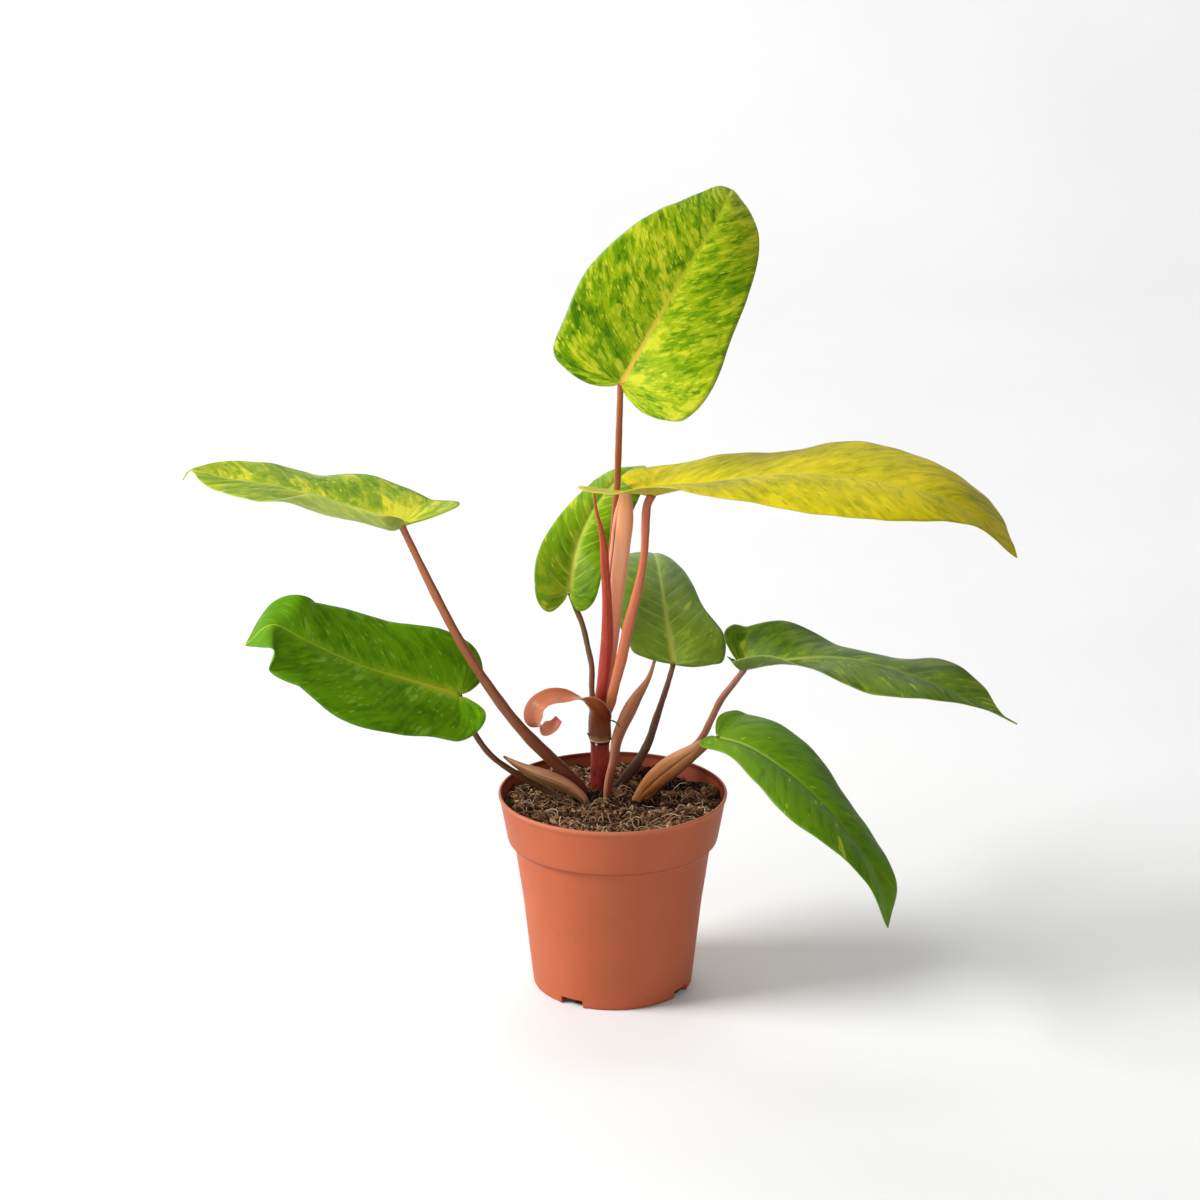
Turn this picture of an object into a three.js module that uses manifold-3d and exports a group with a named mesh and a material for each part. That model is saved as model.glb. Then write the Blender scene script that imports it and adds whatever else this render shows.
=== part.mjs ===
// A painted lady philodendron in a round 12 cm nursery pot.
// Millimetres, +Z up. The origin is the middle of the pot's underside, and -Y is the front.

import * as THREE from 'three';
import { mergeVertices } from 'three/addons/utils/BufferGeometryUtils.js';
import Module from 'manifold-3d';

const wasm = await Module();
wasm.setup();

// Pot
const POT_HEIGHT = 107;
const RIM_RADIUS = 60;
const BAND_BOTTOM = 82;
const BAND_BOTTOM_RADIUS = 55.2;
const SHOULDER_Z = 78.8;
const SHOULDER_RADIUS = 51.7;
const BASE_RADIUS = 42;
const WALL = 1.3;
const FLOOR = 1.6;
const POT_SEGMENTS = 64;
const CHANNEL_ANGLES = [-31, 59, 149, 239];
const CHANNEL_WIDTH = 13;
const CHANNEL_HEIGHT = 4.4;
const CHANNEL_INNER_RADIUS = 19;
const DRAIN_RADIUS = 3;

// Soil
const SOIL_LEVEL = 101.5;
const SOIL_SEGMENTS = 48;
const SOIL_RINGS = 12;
const CROWN = [-3, 8];

// Leaves and stalks
const BLADE_THICKNESS = 0.8;
const KEEL = 0.9;
const LOBE_ROWS = 7;
const BLADE_ROWS = 19;
const BLADE_COLUMNS = 4;
const VEIN_SWEEP = 0.45;
const LOBE_OUTLINE = [[0.13, -0.52], [0.4, -0.98], [0.7, -0.84], [0.92, -0.2]];
const SHOULDER_OUTLINE = [[0.13, -0.05], [0.4, -0.25], [0.7, -0.6], [0.92, -0.95]];
const STATIONS = [0.12, 0.3, 0.5, 0.7, 0.88];
const ROUNDED = [2, 2, 2, 2, 1];
const STALK_SIDES = 8;
const SHEATH_SIDES = 10;
const RIBBON_THICKNESS = 1;
const GAP = 0.3;

// Stem
const STEM_X = -6.7;
const STEM_Y = 15;
const STEM_BOTTOM = 89;
const STEM_TOP = 141;
const STEM_RADIUS = 4.9;
const NODE_HEIGHT = 131.6;

// Each blade: the midrib from the stalk to the tip, the way its upper side faces at the base,
// the middle and the tip, its half widths and margin lifts at the five stations, the lengths of
// its two lobes behind the stalk, and how far each half bulges between midrib and margin
// (ROUNDED for most).
// A lobe below zero is a rounded shoulder that leaves the stalk sideways and forward.
// Left and right are seen from above with the tip pointing away.
const BLADES = [
  {
    name: 'top',
    color: 0x8fb32a,
    spine: [
      [4, 0, 327], [17.5, 10, 349], [35.5, 28, 376], [53, 50, 400], [61, 73, 411],
      [62, 92, 404],
    ],
    face: [[-0.25, -0.85, 0.45], [-0.1, -0.8, 0.6], [0.1, -0.3, 1]],
    left: {
      width: [42, 44.5, 37, 23.5, 5.5], lift: [8, 4, 3, 1, 1],
      lobe: 7.5, lobeLift: -5, bulge: ROUNDED,
    },
    right: {
      width: [46, 39, 33.5, 24, 6.5], lift: [7, 1, -3, -8, -4],
      lobe: 9, lobeLift: 0, bulge: ROUNDED,
    },
    drip: 0,
  },
  {
    name: 'right_yellow',
    color: 0xb9bd2c,
    spine: [
      [20, 0, 269], [44, -14, 278], [93, -40, 291], [146, -62, 290], [177, -72, 279],
      [198, -78, 259],
    ],
    face: [[0.05, -0.1, 1], [0.1, -0.1, 1], [0.5, -0.3, 1]],
    left: { width: [34, 37, 44, 39, 30], lift: [6, 2, 4, 0, -4], lobe: 24, lobeLift: 6, bulge: ROUNDED },
    right: {
      width: [36, 38, 41, 36, 13], lift: [10, 0, -6, -4, 2],
      lobe: 30, lobeLift: 9.5, bulge: ROUNDED,
    },
    drip: 0,
  },
  {
    name: 'upper_left',
    color: 0x93b52e,
    spine: [
      [-108, 0, 253], [-135, 14, 258], [-173, 30, 264], [-202, 42, 265], [-216, 49, 267],
      [-222, 52, 266.5],
      [-226, 54, 261],
    ],
    face: [[0, 0.1, 1], [0, 0.05, 1], [0, 0, 1]],
    left: {
      width: [27, 31, 30, 25, 12], lift: [9, 10, 0, -1, -1], lobe: 5, lobeLift: 2,
      bulge: [-5, -7, 0, 1, 1],
    },
    right: { width: [30, 32, 31, 26, 16], lift: [9, 9, 1, 5, 5], lobe: 23, lobeLift: 10, bulge: ROUNDED },
    drip: 8,
  },
  {
    name: 'lower_left',
    color: 0x4f8a24,
    spine: [
      [-80, -8, 163], [-99, -16, 172], [-129, -28, 186], [-155, -37, 202], [-172, -41, 212],
      [-186, -41, 201],
    ],
    face: [[-0.1, -0.6, 0.8], [-0.1, -0.6, 0.8], [-0.9, -0.3, 0.5]],
    left: {
      width: [29, 37, 38, 28.5, 19], lift: [-3, 2, 3, 3, 1],
      lobe: 12, lobeLift: 8.5, bulge: ROUNDED,
    },
    right: {
      width: [32, 30, 30, 24, 16.5], lift: [10, 6, 1, -1, -3],
      lobe: 13, lobeLift: -1, bulge: ROUNDED,
    },
    drip: 0,
  },
  {
    name: 'back_left',
    color: 0x63982a,
    spine: [[-23, 55, 199], [-19, 66, 220], [-8, 84, 239], [7, 108, 249], [18, 130, 247]],
    face: [[0, -0.8, 0.5], [0, -0.7, 0.7], [0, -0.2, 1]],
    left: { width: [20, 16.2, 13, 11, 8], lift: [4, 0, -3, -3, -2], lobe: 13, lobeLift: 0, bulge: ROUNDED },
    right: { width: [18.3, 17.5, 19, 15, 8], lift: [8, 0, 0, 0, 0], lobe: 11, lobeLift: 5, bulge: ROUNDED },
    drip: 0,
  },
  {
    name: 'back_right',
    color: 0x557f2c,
    spine: [[32, 45, 162], [29, 62, 180], [26, 88, 196], [23, 116, 201], [20, 143, 188]],
    face: [[0, -0.8, 0.5], [0, -0.6, 0.8], [0, 0, 1]],
    left: { width: [22, 27, 27, 22, 12], lift: [2, -4, -2, -1, 0], lobe: -9, lobeLift: 4, bulge: ROUNDED },
    right: {
      width: [29.5, 21, 16.5, 11, 6], lift: [-2.5, -3, -4, -4, -2],
      lobe: 3.6, lobeLift: 1, bulge: ROUNDED,
    },
    drip: 0,
  },
  {
    name: 'upper_right',
    color: 0x4c7d22,
    spine: [
      [68, 0, 175], [91, -10, 183], [120, -23, 188], [152, -36, 183], [181, -48, 174],
      [204, -55, 164],
    ],
    face: [[-0.2, -0.2, 0.9], [0, 0, 1], [0.1, 0, 1]],
    left: {
      width: [26, 21, 24, 22.5, 13.8], lift: [11.5, -2, -4, 7.5, 5],
      lobe: 8.5, lobeLift: 10, bulge: ROUNDED,
    },
    right: {
      width: [15, 21, 26, 22, 8], lift: [10, 3, -6, -2, 1], lobe: 1, lobeLift: 4,
      bulge: [-2, -1, 1, 2, 1],
    },
    drip: 8,
  },
  {
    name: 'lower_right',
    color: 0x4b8420,
    spine: [
      [54, -20, 144], [71, -34, 143], [95, -56, 133], [117, -78, 116], [133, -92, 94],
      [138, -96, 70],
    ],
    face: [[0.2, -0.3, 0.9], [0.4, -0.3, 0.8], [0.6, -0.4, 0.5]],
    left: { width: [27, 26, 20, 17.5, 10], lift: [3, 1, -2, -2, 2], lobe: 8, lobeLift: 4, bulge: ROUNDED },
    right: {
      width: [14.5, 22, 27, 20, 10], lift: [0, -1, -2, 2, 2],
      lobe: 3, lobeLift: 1.5, bulge: ROUNDED,
    },
    drip: 0,
  },
];

// Each stalk: the points that it runs through and its radius there, from the leaf down.
const STALKS = [
  {
    name: 'right_yellow',
    color: 0xb06050,
    path: [
      [19, 0.3, 266.8], [17, 0.5, 260], [16, 1, 237], [13, 2, 218], [8, 3, 197], [5, 4.5, 181],
      [0.4, 6.5, 161],
      [-1.2, 11.6, 151], [-4.2, 13.4, 142],
    ],
    radius: [2.3, 1.9, 2.1, 2.6, 2.8, 2.9, 2.8, 2.6, 2.2],
  },
  {
    name: 'top',
    color: 0x955a40,
    path: [
      [3.7, 1, 324.8], [3, 6, 301], [2, 12, 268], [0, 16.5, 239], [-2, 19, 206], [-4, 19.6, 173],
      [-5.2, 19.6, 155], [-5.6, 18.4, 141.4],
    ],
    radius: [1.7, 1.7, 1.8, 1.9, 2, 2, 2, 2],
  },
  {
    name: 'back_left',
    color: 0x6f6335,
    path: [
      [-22.5, 57, 197], [-20, 57, 190], [-16, 50, 182], [-13, 40, 172], [-11, 32, 164],
      [-11, 25, 154], [-9.4, 18.9, 141.6],
    ],
    radius: [1.5, 1.5, 1.5, 1.5, 1.5, 1.5, 1.4],
  },
  {
    name: 'back_right',
    color: 0x6b5138,
    path: [
      [32, 46.3, 160], [28.5, 42, 149], [23, 35, 134], [19, 30, 123], [13, 26, 113], [6, 22, 105],
      [1, 21, 97], [0, 21, 90],
    ],
    radius: [1.5, 1.6, 2, 2.2, 2.4, 2.7, 2.8, 2.8],
  },
  {
    name: 'upper_left',
    color: 0x8a5038,
    path: [
      [-107.8, 0, 251.1], [-90, -8, 215], [-75, -12, 187], [-58, -10, 159], [-44, -5, 139],
      [-26, 4, 117], [-16, 9, 103], [-14.5, 10, 91],
    ],
    radius: [2, 2.3, 2.4, 2.6, 2.9, 3.3, 3.3, 3.1],
  },
  {
    name: 'lower_left',
    color: 0x6e5a35,
    path: [
      [-79, -6.5, 160.8], [-74, -5, 145], [-65, -2, 129], [-53, 3, 117], [-37, 6, 106],
      [-23, 4, 98], [-19, 3, 90],
    ],
    radius: [1.6, 1.6, 1.6, 1.7, 1.8, 1.8, 1.8],
  },
  {
    name: 'upper_right',
    color: 0x8a5442,
    path: [
      [67.5, 0.2, 173.3], [62, -1, 166], [56, -2, 158], [51, -2, 147], [46.5, -1, 137],
      [39, 2, 127], [28, 6, 114], [20, 9, 102], [16, 9, 91],
    ],
    radius: [1.7, 1.8, 1.8, 1.9, 2, 2, 2, 2, 2],
  },
  {
    name: 'lower_right',
    color: 0x86603c,
    path: [
      [53.7, -19, 142.6], [50, -12.5, 138], [44, -7, 130], [35, -3, 120], [25, 0, 110],
      [17, 3, 99], [13, 3, 90],
    ],
    radius: [1.5, 1.6, 1.7, 1.8, 1.8, 1.8, 1.8],
  },
];

// The leafless sheaths: flat blades that wrap the young stalks, each a tapering flat oval.
// flat is the thickness over the width, and face the way the broad side looks.
const SHEATHS = [
  {
    name: 'new_leaf_spear',
    color: 0xa83c2c,
    path: [
      [-9.8, 6, 267.5], [-8.5, 5.6, 258], [-5, 5, 242], [-4, 6.5, 226], [-3, 8, 209],
      [-3, 9, 187], [-5, 10.5, 165],
      [-7.2, 12.8, 152], [-9.3, 14.6, 141.7],
    ],
    radius: [0.5, 1.1, 2.2, 2.4, 2.7, 3.3, 3.4, 2.9, 2.2],
    flat: 0.95,
    face: [0, -1, 0],
  },
  {
    name: 'broad_sheath',
    color: 0xd68a66,
    path: [
      [6.3, 6.2, 268.3], [6.2, 6.4, 263.5], [5.3, 8, 253], [4, 9.8, 240], [1.5, 12.8, 215],
      [0, 14.4, 190], [-2, 15.4, 168],
      [-2.8, 16, 152], [-2.6, 16.2, 141.3],
    ],
    radius: [2.8, 5.2, 5.2, 4.9, 4.2, 3.4, 3, 2.5, 2],
    flat: 0.45,
    face: [0, -1, 0],
  },
  {
    name: 'front_sheath',
    color: 0xc07a58,
    path: [
      [23, 50, 164], [19, 41, 155], [12, 30, 147], [6, 19, 139], [2, 10, 131], [0.5, 7, 121],
      [-2, 5.5, 111], [-3, 5, 100], [-3, 5, 91],
    ],
    radius: [0.8, 1.4, 2.9, 3.9, 3.5, 2.7, 2.4, 2.2, 2],
    flat: 0.5,
    face: [0.3, -1, 0.2],
  },
  {
    name: 'left_sheath',
    color: 0xa87b4e,
    path: [
      [-57, -5, 128], [-50, -4, 123], [-41, -3, 118], [-32, -2, 114], [-23, -1, 109],
      [-15, -1, 102], [-13, -1, 91],
    ],
    radius: [0.6, 2.2, 3.7, 4.1, 3.4, 2.3, 1.8],
    flat: 0.4,
    face: [0.2, -1, 0.5],
  },
  {
    name: 'right_sheath',
    color: 0xb5803f,
    path: [
      [47, -16, 141], [41, -15.5, 135], [33, -13, 128], [26, -10, 121], [19, -7, 113],
      [13, -4, 104], [8, -1, 91],
    ],
    radius: [1.2, 3.9, 5.2, 5.4, 4, 2.3, 1.8],
    flat: 0.35,
    face: [-0.2, -1, 0.4],
  },
];

// The dry sheath round the stem above the node, peeled away to the left into a curl.
// across is the way from its back edge to its front edge, and bend how far it is rolled.
const PEELED_SHEATH = {
  path: [
    [-6.7, 9.1, 131.5], [-6.9, 8.6, 140.3], [-7.6, 6.4, 148.6], [-12, 4.8, 154.3],
    [-18, 3.6, 157], [-25, 2, 158.6], [-32.5, -0.5, 159], [-38.6, -2.5, 156],
    [-41, -3.5, 150.8], [-40, -4.2, 146.4], [-36, -4.5, 143.6], [-31.3, -4.2, 144.8],
    [-28.2, -3.6, 148.4],
  ],
  across: [
    [1, 0, 0], [1, 0, 0], [0.9, -0.35, 0.15], [0.6, -0.7, 0.45], [0.2, -0.95, 0.15],
    [0.15, -0.92, -0.3], [0.3, -0.85, -0.4], [0.6, -0.72, -0.3], [0.8, -0.55, -0.25],
    [0.8, -0.5, -0.3], [0.7, -0.55, -0.4], [0.6, -0.65, -0.45], [0.6, -0.7, -0.4],
  ],
  halfWidth: [8.6, 7.8, 6.2, 6, 5.8, 5.8, 5.8, 5.8, 5.8, 5.6, 4.8, 3.6, 2.7],
  bend: [1.45, 1.3, 0.7, 0.5, 0.4, 0.3, 0.3, 0.3, 0.3, 0.3, 0.3, 0.25, 0.2],
  steps: 30,
  columns: 6,
};

const vector = (xyz) => new THREE.Vector3(...xyz);

// A smooth curve through points, which also blends vectors given at even stations
function smoothCurve(points) {
  return new THREE.CatmullRomCurve3(points.map(vector), false, 'catmullrom', 0.5);
}

// A smooth function through numbers given at even stations from 0 to 1
function smoothValues(values) {
  const curve = smoothCurve(values.map((value) => [value, 0, 0]));
  return (t) => curve.getPoint(THREE.MathUtils.clamp(t, 0, 1)).x;
}

// A value known at the five stations of a blade, held behind the first and zero at the tip
function atStations(values, u) {
  const knots = [-0.2, ...STATIONS, 1];
  const heights = [values[0], ...values, 0];
  const at = THREE.MathUtils.clamp(u, knots[0], 1);
  let i = 0;
  while (i < knots.length - 2 && at >= knots[i + 1]) i += 1;
  const slope = (k) => {
    if (k === 0 || k === knots.length - 1) return 0;
    return (heights[k + 1] - heights[k - 1]) / (knots[k + 1] - knots[k - 1]);
  };
  const span = knots[i + 1] - knots[i];
  const t = (at - knots[i]) / span;
  const start = (2 * t ** 3 - 3 * t ** 2 + 1) * heights[i] + (t ** 3 - 2 * t ** 2 + t) * span * slope(i);
  const end = (3 * t ** 2 - 2 * t ** 3) * heights[i + 1] + (t ** 3 - t ** 2) * span * slope(i + 1);
  return start + end;
}

// Points along one half's margin, as distance across and distance along the midrib
function halfMargin(half, length, drip) {
  const [w0, , , , w4] = half.width;
  const body = length - drip;
  const outline = half.lobe > 0 ? LOBE_OUTLINE : SHOULDER_OUTLINE;
  const points = [[0, 0], ...outline.map(([across, along]) => [across * w0, along * half.lobe])];
  STATIONS.forEach((station, i) => points.push([half.width[i], station * body]));
  if (drip > 0) {
    points.push([0.3 * w4, 0.965 * body], [0.9, body], [0.5, length - 0.5 * drip], [0, length]);
  } else {
    points.push([0.35 * w4, 0.965 * length], [0, length]);
  }
  return smoothCurve(points.map(([across, along]) => [across, along, 0])).getSpacedPoints(240);
}

// The margin points of one half, row by row: round the lobe, then level with even midrib steps
function marginRows(half, length, drip) {
  const margin = halfMargin(half, length, drip);
  const reach = (point) => point.y - VEIN_SWEEP * point.x;
  let turn = margin.length - 1;
  while (turn > 1 && reach(margin[turn - 1]) >= 0) turn -= 1;
  const rows = [];
  for (let i = 0; i <= LOBE_ROWS; i += 1) {
    rows.push(margin[Math.round((i / LOBE_ROWS) * turn)]);
  }
  for (let i = 1; i <= BLADE_ROWS; i += 1) {
    const wanted = (i / BLADE_ROWS) * length;
    let k = turn;
    while (k < margin.length - 1 && reach(margin[k]) < wanted) k += 1;
    rows.push(margin[k]);
  }
  return rows;
}

// A blade's middle surface: its points and its triangles, wound to face the upper side
function bladeSheet(leaf, grow) {
  const curve = smoothCurve(leaf.spine);
  const faces = smoothCurve(leaf.face);
  const length = curve.getLength();

  function place(half, side, across, along, x) {
    const u = THREE.MathUtils.clamp(along / length, 0, 1);
    const tangent = curve.getTangentAt(u);
    const normal = faces.getPoint(u);
    normal.addScaledVector(tangent, -normal.dot(tangent)).normalize();
    const sideways = new THREE.Vector3().crossVectors(tangent, normal);
    const width = Math.max(atStations(half.width, along / length), 1);
    const lift = atStations(half.lift, along / length);
    const back = THREE.MathUtils.clamp(-along / Math.max(half.lobe, 0.001), 0, 1);
    const flatness = Math.sqrt(1 - THREE.MathUtils.clamp(lift / width, -0.95, 0.95) ** 2);
    const bulge = atStations(half.bulge, along / length) * Math.sin(Math.PI * x);
    const rise = lift * x ** 1.4 * Math.min(1, across / Math.max(width * x, 0.001))
      + half.lobeLift * back ** 1.3
      + bulge * Math.min(1, across / Math.max(half.width[0] * x, 0.001));
    return curve.getPointAt(u)
      .addScaledVector(tangent, Math.min(along, 0))
      .addScaledVector(sideways, side * across * flatness)
      .addScaledVector(normal, rise);
  }

  const points = [];
  const add = (point) => points.push(point) - 1;
  const midrib = [];
  for (let i = 0; i <= BLADE_ROWS; i += 1) {
    midrib.push(add(curve.getPointAt(i / BLADE_ROWS)));
  }
  const base = midrib[0];
  const tip = midrib[BLADE_ROWS];
  points[base].addScaledVector(curve.getTangentAt(0), -grow);
  points[tip].addScaledVector(curve.getTangentAt(1), grow);

  const triangles = [];
  [[leaf.left, -1], [leaf.right, 1]].forEach(([half, side]) => {
    const rows = marginRows(half, length, leaf.drip);
    const last = rows.length - 1;
    const grid = rows.map((edge, r) => {
      if (r === 0) return new Array(BLADE_COLUMNS + 1).fill(base);
      if (r === last) return new Array(BLADE_COLUMNS + 1).fill(tip);
      const step = Math.max(r - LOBE_ROWS, 0);
      const start = (step / BLADE_ROWS) * length;
      const row = [midrib[step]];
      for (let c = 1; c <= BLADE_COLUMNS; c += 1) {
        const x = c / BLADE_COLUMNS;
        row.push(add(place(half, side, edge.x * x, start + (edge.y - start) * x, x)));
      }
      const outer = points[row[BLADE_COLUMNS]];
      const outward = outer.clone().sub(points[row[BLADE_COLUMNS - 1]]).normalize();
      outer.addScaledVector(outward, grow);
      return row;
    });
    for (let r = 0; r < last; r += 1) {
      for (let c = 0; c < BLADE_COLUMNS; c += 1) {
        const quad = [grid[r][c], grid[r + 1][c], grid[r + 1][c + 1], grid[r][c + 1]];
        const order = side > 0 ? [0, 3, 2, 0, 2, 1] : [0, 2, 3, 0, 1, 2];
        for (let k = 0; k < 6; k += 3) {
          const [a, b, d] = [quad[order[k]], quad[order[k + 1]], quad[order[k + 2]]];
          if (a !== b && b !== d && a !== d) triangles.push([a, b, d]);
        }
      }
    }
  });
  return { points, triangles, midrib };
}

// A thin solid round a middle surface: the same triangles on both faces, and a rim
function thicken({ points, triangles }, thickness, extraBelow = () => 0) {
  const normals = points.map(() => new THREE.Vector3());
  triangles.forEach(([a, b, c]) => {
    const one = points[b].clone().sub(points[a]);
    const two = points[c].clone().sub(points[a]);
    const area = one.cross(two);
    [a, b, c].forEach((index) => normals[index].add(area));
  });
  normals.forEach((normal) => normal.normalize());
  const count = points.length;
  const above = points.map((point, i) => point.clone().addScaledVector(normals[i], thickness / 2));
  const below = points.map((point, i) => (
    point.clone().addScaledVector(normals[i], -thickness / 2 - extraBelow(i))
  ));
  const used = new Set(triangles.flatMap(([a, b, c]) => [`${a}_${b}`, `${b}_${c}`, `${c}_${a}`]));
  const index = [];
  triangles.forEach(([a, b, c]) => {
    index.push(a, b, c, a + count, c + count, b + count);
    [[a, b], [b, c], [c, a]].forEach(([from, to]) => {
      if (used.has(`${to}_${from}`)) return;
      index.push(to, from, from + count, to, from + count, to + count);
    });
  });
  return closedGeometry([...above, ...below], index);
}

function closedGeometry(points, index) {
  const geometry = new THREE.BufferGeometry();
  const flat = points.flatMap((point) => point.toArray());
  geometry.setAttribute('position', new THREE.Float32BufferAttribute(flat, 3));
  geometry.setIndex(index);
  return geometry;
}

function bladeGeometry(leaf, grow = 0) {
  const sheet = bladeSheet(leaf, grow);
  const steps = new Map(sheet.midrib.map((index, i) => [index, i / BLADE_ROWS]));
  const keel = (i) => (steps.has(i) ? KEEL * (1 - 0.8 * steps.get(i)) : 0);
  return thicken(sheet, BLADE_THICKNESS + 2 * grow, keel);
}

// A tapering oval bar along a curve, with flat ends
function barGeometry({ path, radius, flat = 1, face = [0, -1, 0.001] }, sides, grow = 0) {
  const curve = smoothCurve(path);
  const radiusAt = smoothValues(radius);
  const length = curve.getLength();
  const steps = Math.min(26, Math.max(12, Math.round(length / 6)));
  const points = [];
  for (let i = 0; i <= steps; i += 1) {
    const u = i / steps;
    const tangent = curve.getTangentAt(u);
    const wide = new THREE.Vector3().crossVectors(tangent, vector(face)).normalize();
    const thin = new THREE.Vector3().crossVectors(wide, tangent);
    const centre = curve.getPointAt(u);
    if (i === 0) centre.addScaledVector(tangent, -grow);
    if (i === steps) centre.addScaledVector(tangent, grow);
    for (let k = 0; k < sides; k += 1) {
      const angle = (2 * Math.PI * k) / sides;
      const across = radiusAt(u) + grow;
      const deep = radiusAt(u) * flat + grow;
      points.push(centre.clone()
        .addScaledVector(wide, across * Math.cos(angle))
        .addScaledVector(thin, deep * Math.sin(angle)));
    }
  }
  const index = [];
  for (let i = 0; i < steps; i += 1) {
    for (let k = 0; k < sides; k += 1) {
      const a = i * sides + k;
      const b = i * sides + ((k + 1) % sides);
      index.push(a, a + sides, b, b, a + sides, b + sides);
    }
  }
  const end = steps * sides;
  for (let k = 1; k < sides - 1; k += 1) {
    index.push(0, k, k + 1, end, end + k + 1, end + k);
  }
  return closedGeometry(points, index);
}

function peeledSheathGeometry(grow = 0) {
  const { path, across, halfWidth, bend, steps, columns } = PEELED_SHEATH;
  const curve = smoothCurve(path);
  const acrossAt = smoothCurve(across);
  const widthAt = smoothValues(halfWidth);
  const bendAt = smoothValues(bend);
  const points = [];
  const triangles = [];
  for (let i = 0; i <= steps; i += 1) {
    const t = i / steps;
    const tangent = curve.getTangent(t);
    const wide = acrossAt.getPoint(t);
    wide.addScaledVector(tangent, -wide.dot(tangent)).normalize();
    const outward = new THREE.Vector3().crossVectors(wide, tangent);
    const roll = bendAt(t);
    const rollRadius = (widthAt(t) + grow) / roll;
    const centre = curve.getPoint(t);
    if (i === 0) centre.addScaledVector(tangent, -grow);
    if (i === steps) centre.addScaledVector(tangent, grow);
    for (let c = 0; c <= columns; c += 1) {
      const angle = roll * ((2 * c) / columns - 1);
      points.push(centre.clone()
        .addScaledVector(wide, rollRadius * Math.sin(angle))
        .addScaledVector(outward, -rollRadius * (1 - Math.cos(angle))));
    }
  }
  for (let i = 0; i < steps; i += 1) {
    for (let c = 0; c < columns; c += 1) {
      const a = i * (columns + 1) + c;
      const b = a + columns + 1;
      triangles.push([a, a + 1, b + 1], [a, b + 1, b]);
    }
  }
  return thicken({ points, triangles }, RIBBON_THICKNESS + 2 * grow);
}

// A turned solid from a profile of [radius, height] points that starts and ends on the axis
function turned(profile, segments) {
  const geometry = new THREE.LatheGeometry(profile.map(([r, z]) => new THREE.Vector2(r, z)), segments);
  geometry.rotateX(Math.PI / 2);
  return geometry;
}

function toSolid(source) {
  const bare = source.clone();
  bare.deleteAttribute('normal');
  bare.deleteAttribute('uv');
  const merged = mergeVertices(bare, 1e-4);
  const index = merged.getIndex().array;
  const kept = [];
  for (let i = 0; i < index.length; i += 3) {
    const [a, b, c] = [index[i], index[i + 1], index[i + 2]];
    if (a !== b && b !== c && a !== c) kept.push(a, b, c);
  }
  return new wasm.Manifold(new wasm.Mesh({
    numProp: 3,
    vertProperties: new Float32Array(merged.getAttribute('position').array),
    triVerts: new Uint32Array(kept),
  }));
}

function toGeometry(solid) {
  const mesh = solid.getMesh();
  const geometry = new THREE.BufferGeometry();
  geometry.setAttribute('position', new THREE.BufferAttribute(new Float32Array(mesh.vertProperties), 3));
  geometry.setIndex(new THREE.BufferAttribute(new Uint32Array(mesh.triVerts), 1));
  geometry.computeVertexNormals();
  return geometry;
}

function largestPiece(solid) {
  return solid.decompose().reduce((best, piece) => (piece.volume() > best.volume() ? piece : best));
}

const arc = (cx, cz, radius, from, to, count) => Array.from({ length: count + 1 }, (_, i) => {
  const angle = THREE.MathUtils.degToRad(from + ((to - from) * i) / count);
  return [cx + radius * Math.cos(angle), cz + radius * Math.sin(angle)];
});

// A radial bar on the pot's floor, from the channel's inner end out through the wall
function floorBar(angle, width, bottom, top, from, to) {
  const box = new THREE.BoxGeometry(to - from, width, top - bottom);
  box.translate((from + to) / 2, 0, (bottom + top) / 2);
  box.rotateZ(THREE.MathUtils.degToRad(angle - 90));
  return toSolid(box);
}

function channelRoof(angle, grow) {
  const width = CHANNEL_WIDTH + 2 * (WALL + grow);
  const top = CHANNEL_HEIGHT + FLOOR + grow;
  return floorBar(angle, width, 0.2, top, CHANNEL_INNER_RADIUS - WALL - grow, BASE_RADIUS - 1);
}

function potSolid() {
  const lip = WALL / 2;
  const profile = [
    [0, 0],
    ...arc(BASE_RADIUS - 1.5, 1.5, 1.5, -90, 0, 3),
    [SHOULDER_RADIUS, SHOULDER_Z - 1],
    [SHOULDER_RADIUS + 0.4, SHOULDER_Z + 0.6],
    [BAND_BOTTOM_RADIUS - 0.5, BAND_BOTTOM - 1.2],
    [BAND_BOTTOM_RADIUS, BAND_BOTTOM],
    ...arc(RIM_RADIUS - lip, POT_HEIGHT - lip, lip, 0, 180, 4),
    [BAND_BOTTOM_RADIUS - WALL, BAND_BOTTOM + 0.3],
    [SHOULDER_RADIUS - WALL, SHOULDER_Z],
    [BASE_RADIUS - WALL - 0.2, FLOOR],
    [0, FLOOR],
  ];
  let pot = toSolid(turned(profile, POT_SEGMENTS));
  CHANNEL_ANGLES.forEach((angle) => {
    pot = pot.add(channelRoof(angle, 0));
  });
  CHANNEL_ANGLES.forEach((angle) => {
    const channel = [CHANNEL_WIDTH, -1, CHANNEL_HEIGHT, CHANNEL_INNER_RADIUS, BASE_RADIUS + 4];
    pot = pot.subtract(floorBar(angle, ...channel));
    const drain = new THREE.CylinderGeometry(DRAIN_RADIUS, DRAIN_RADIUS, 12, 16);
    drain.rotateX(Math.PI / 2);
    const around = THREE.MathUtils.degToRad(angle - 90);
    const reach = (CHANNEL_INNER_RADIUS + BASE_RADIUS) / 2;
    drain.translate(reach * Math.cos(around), reach * Math.sin(around), CHANNEL_HEIGHT + 1);
    pot = pot.subtract(toSolid(drain));
  });
  return pot;
}

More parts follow.
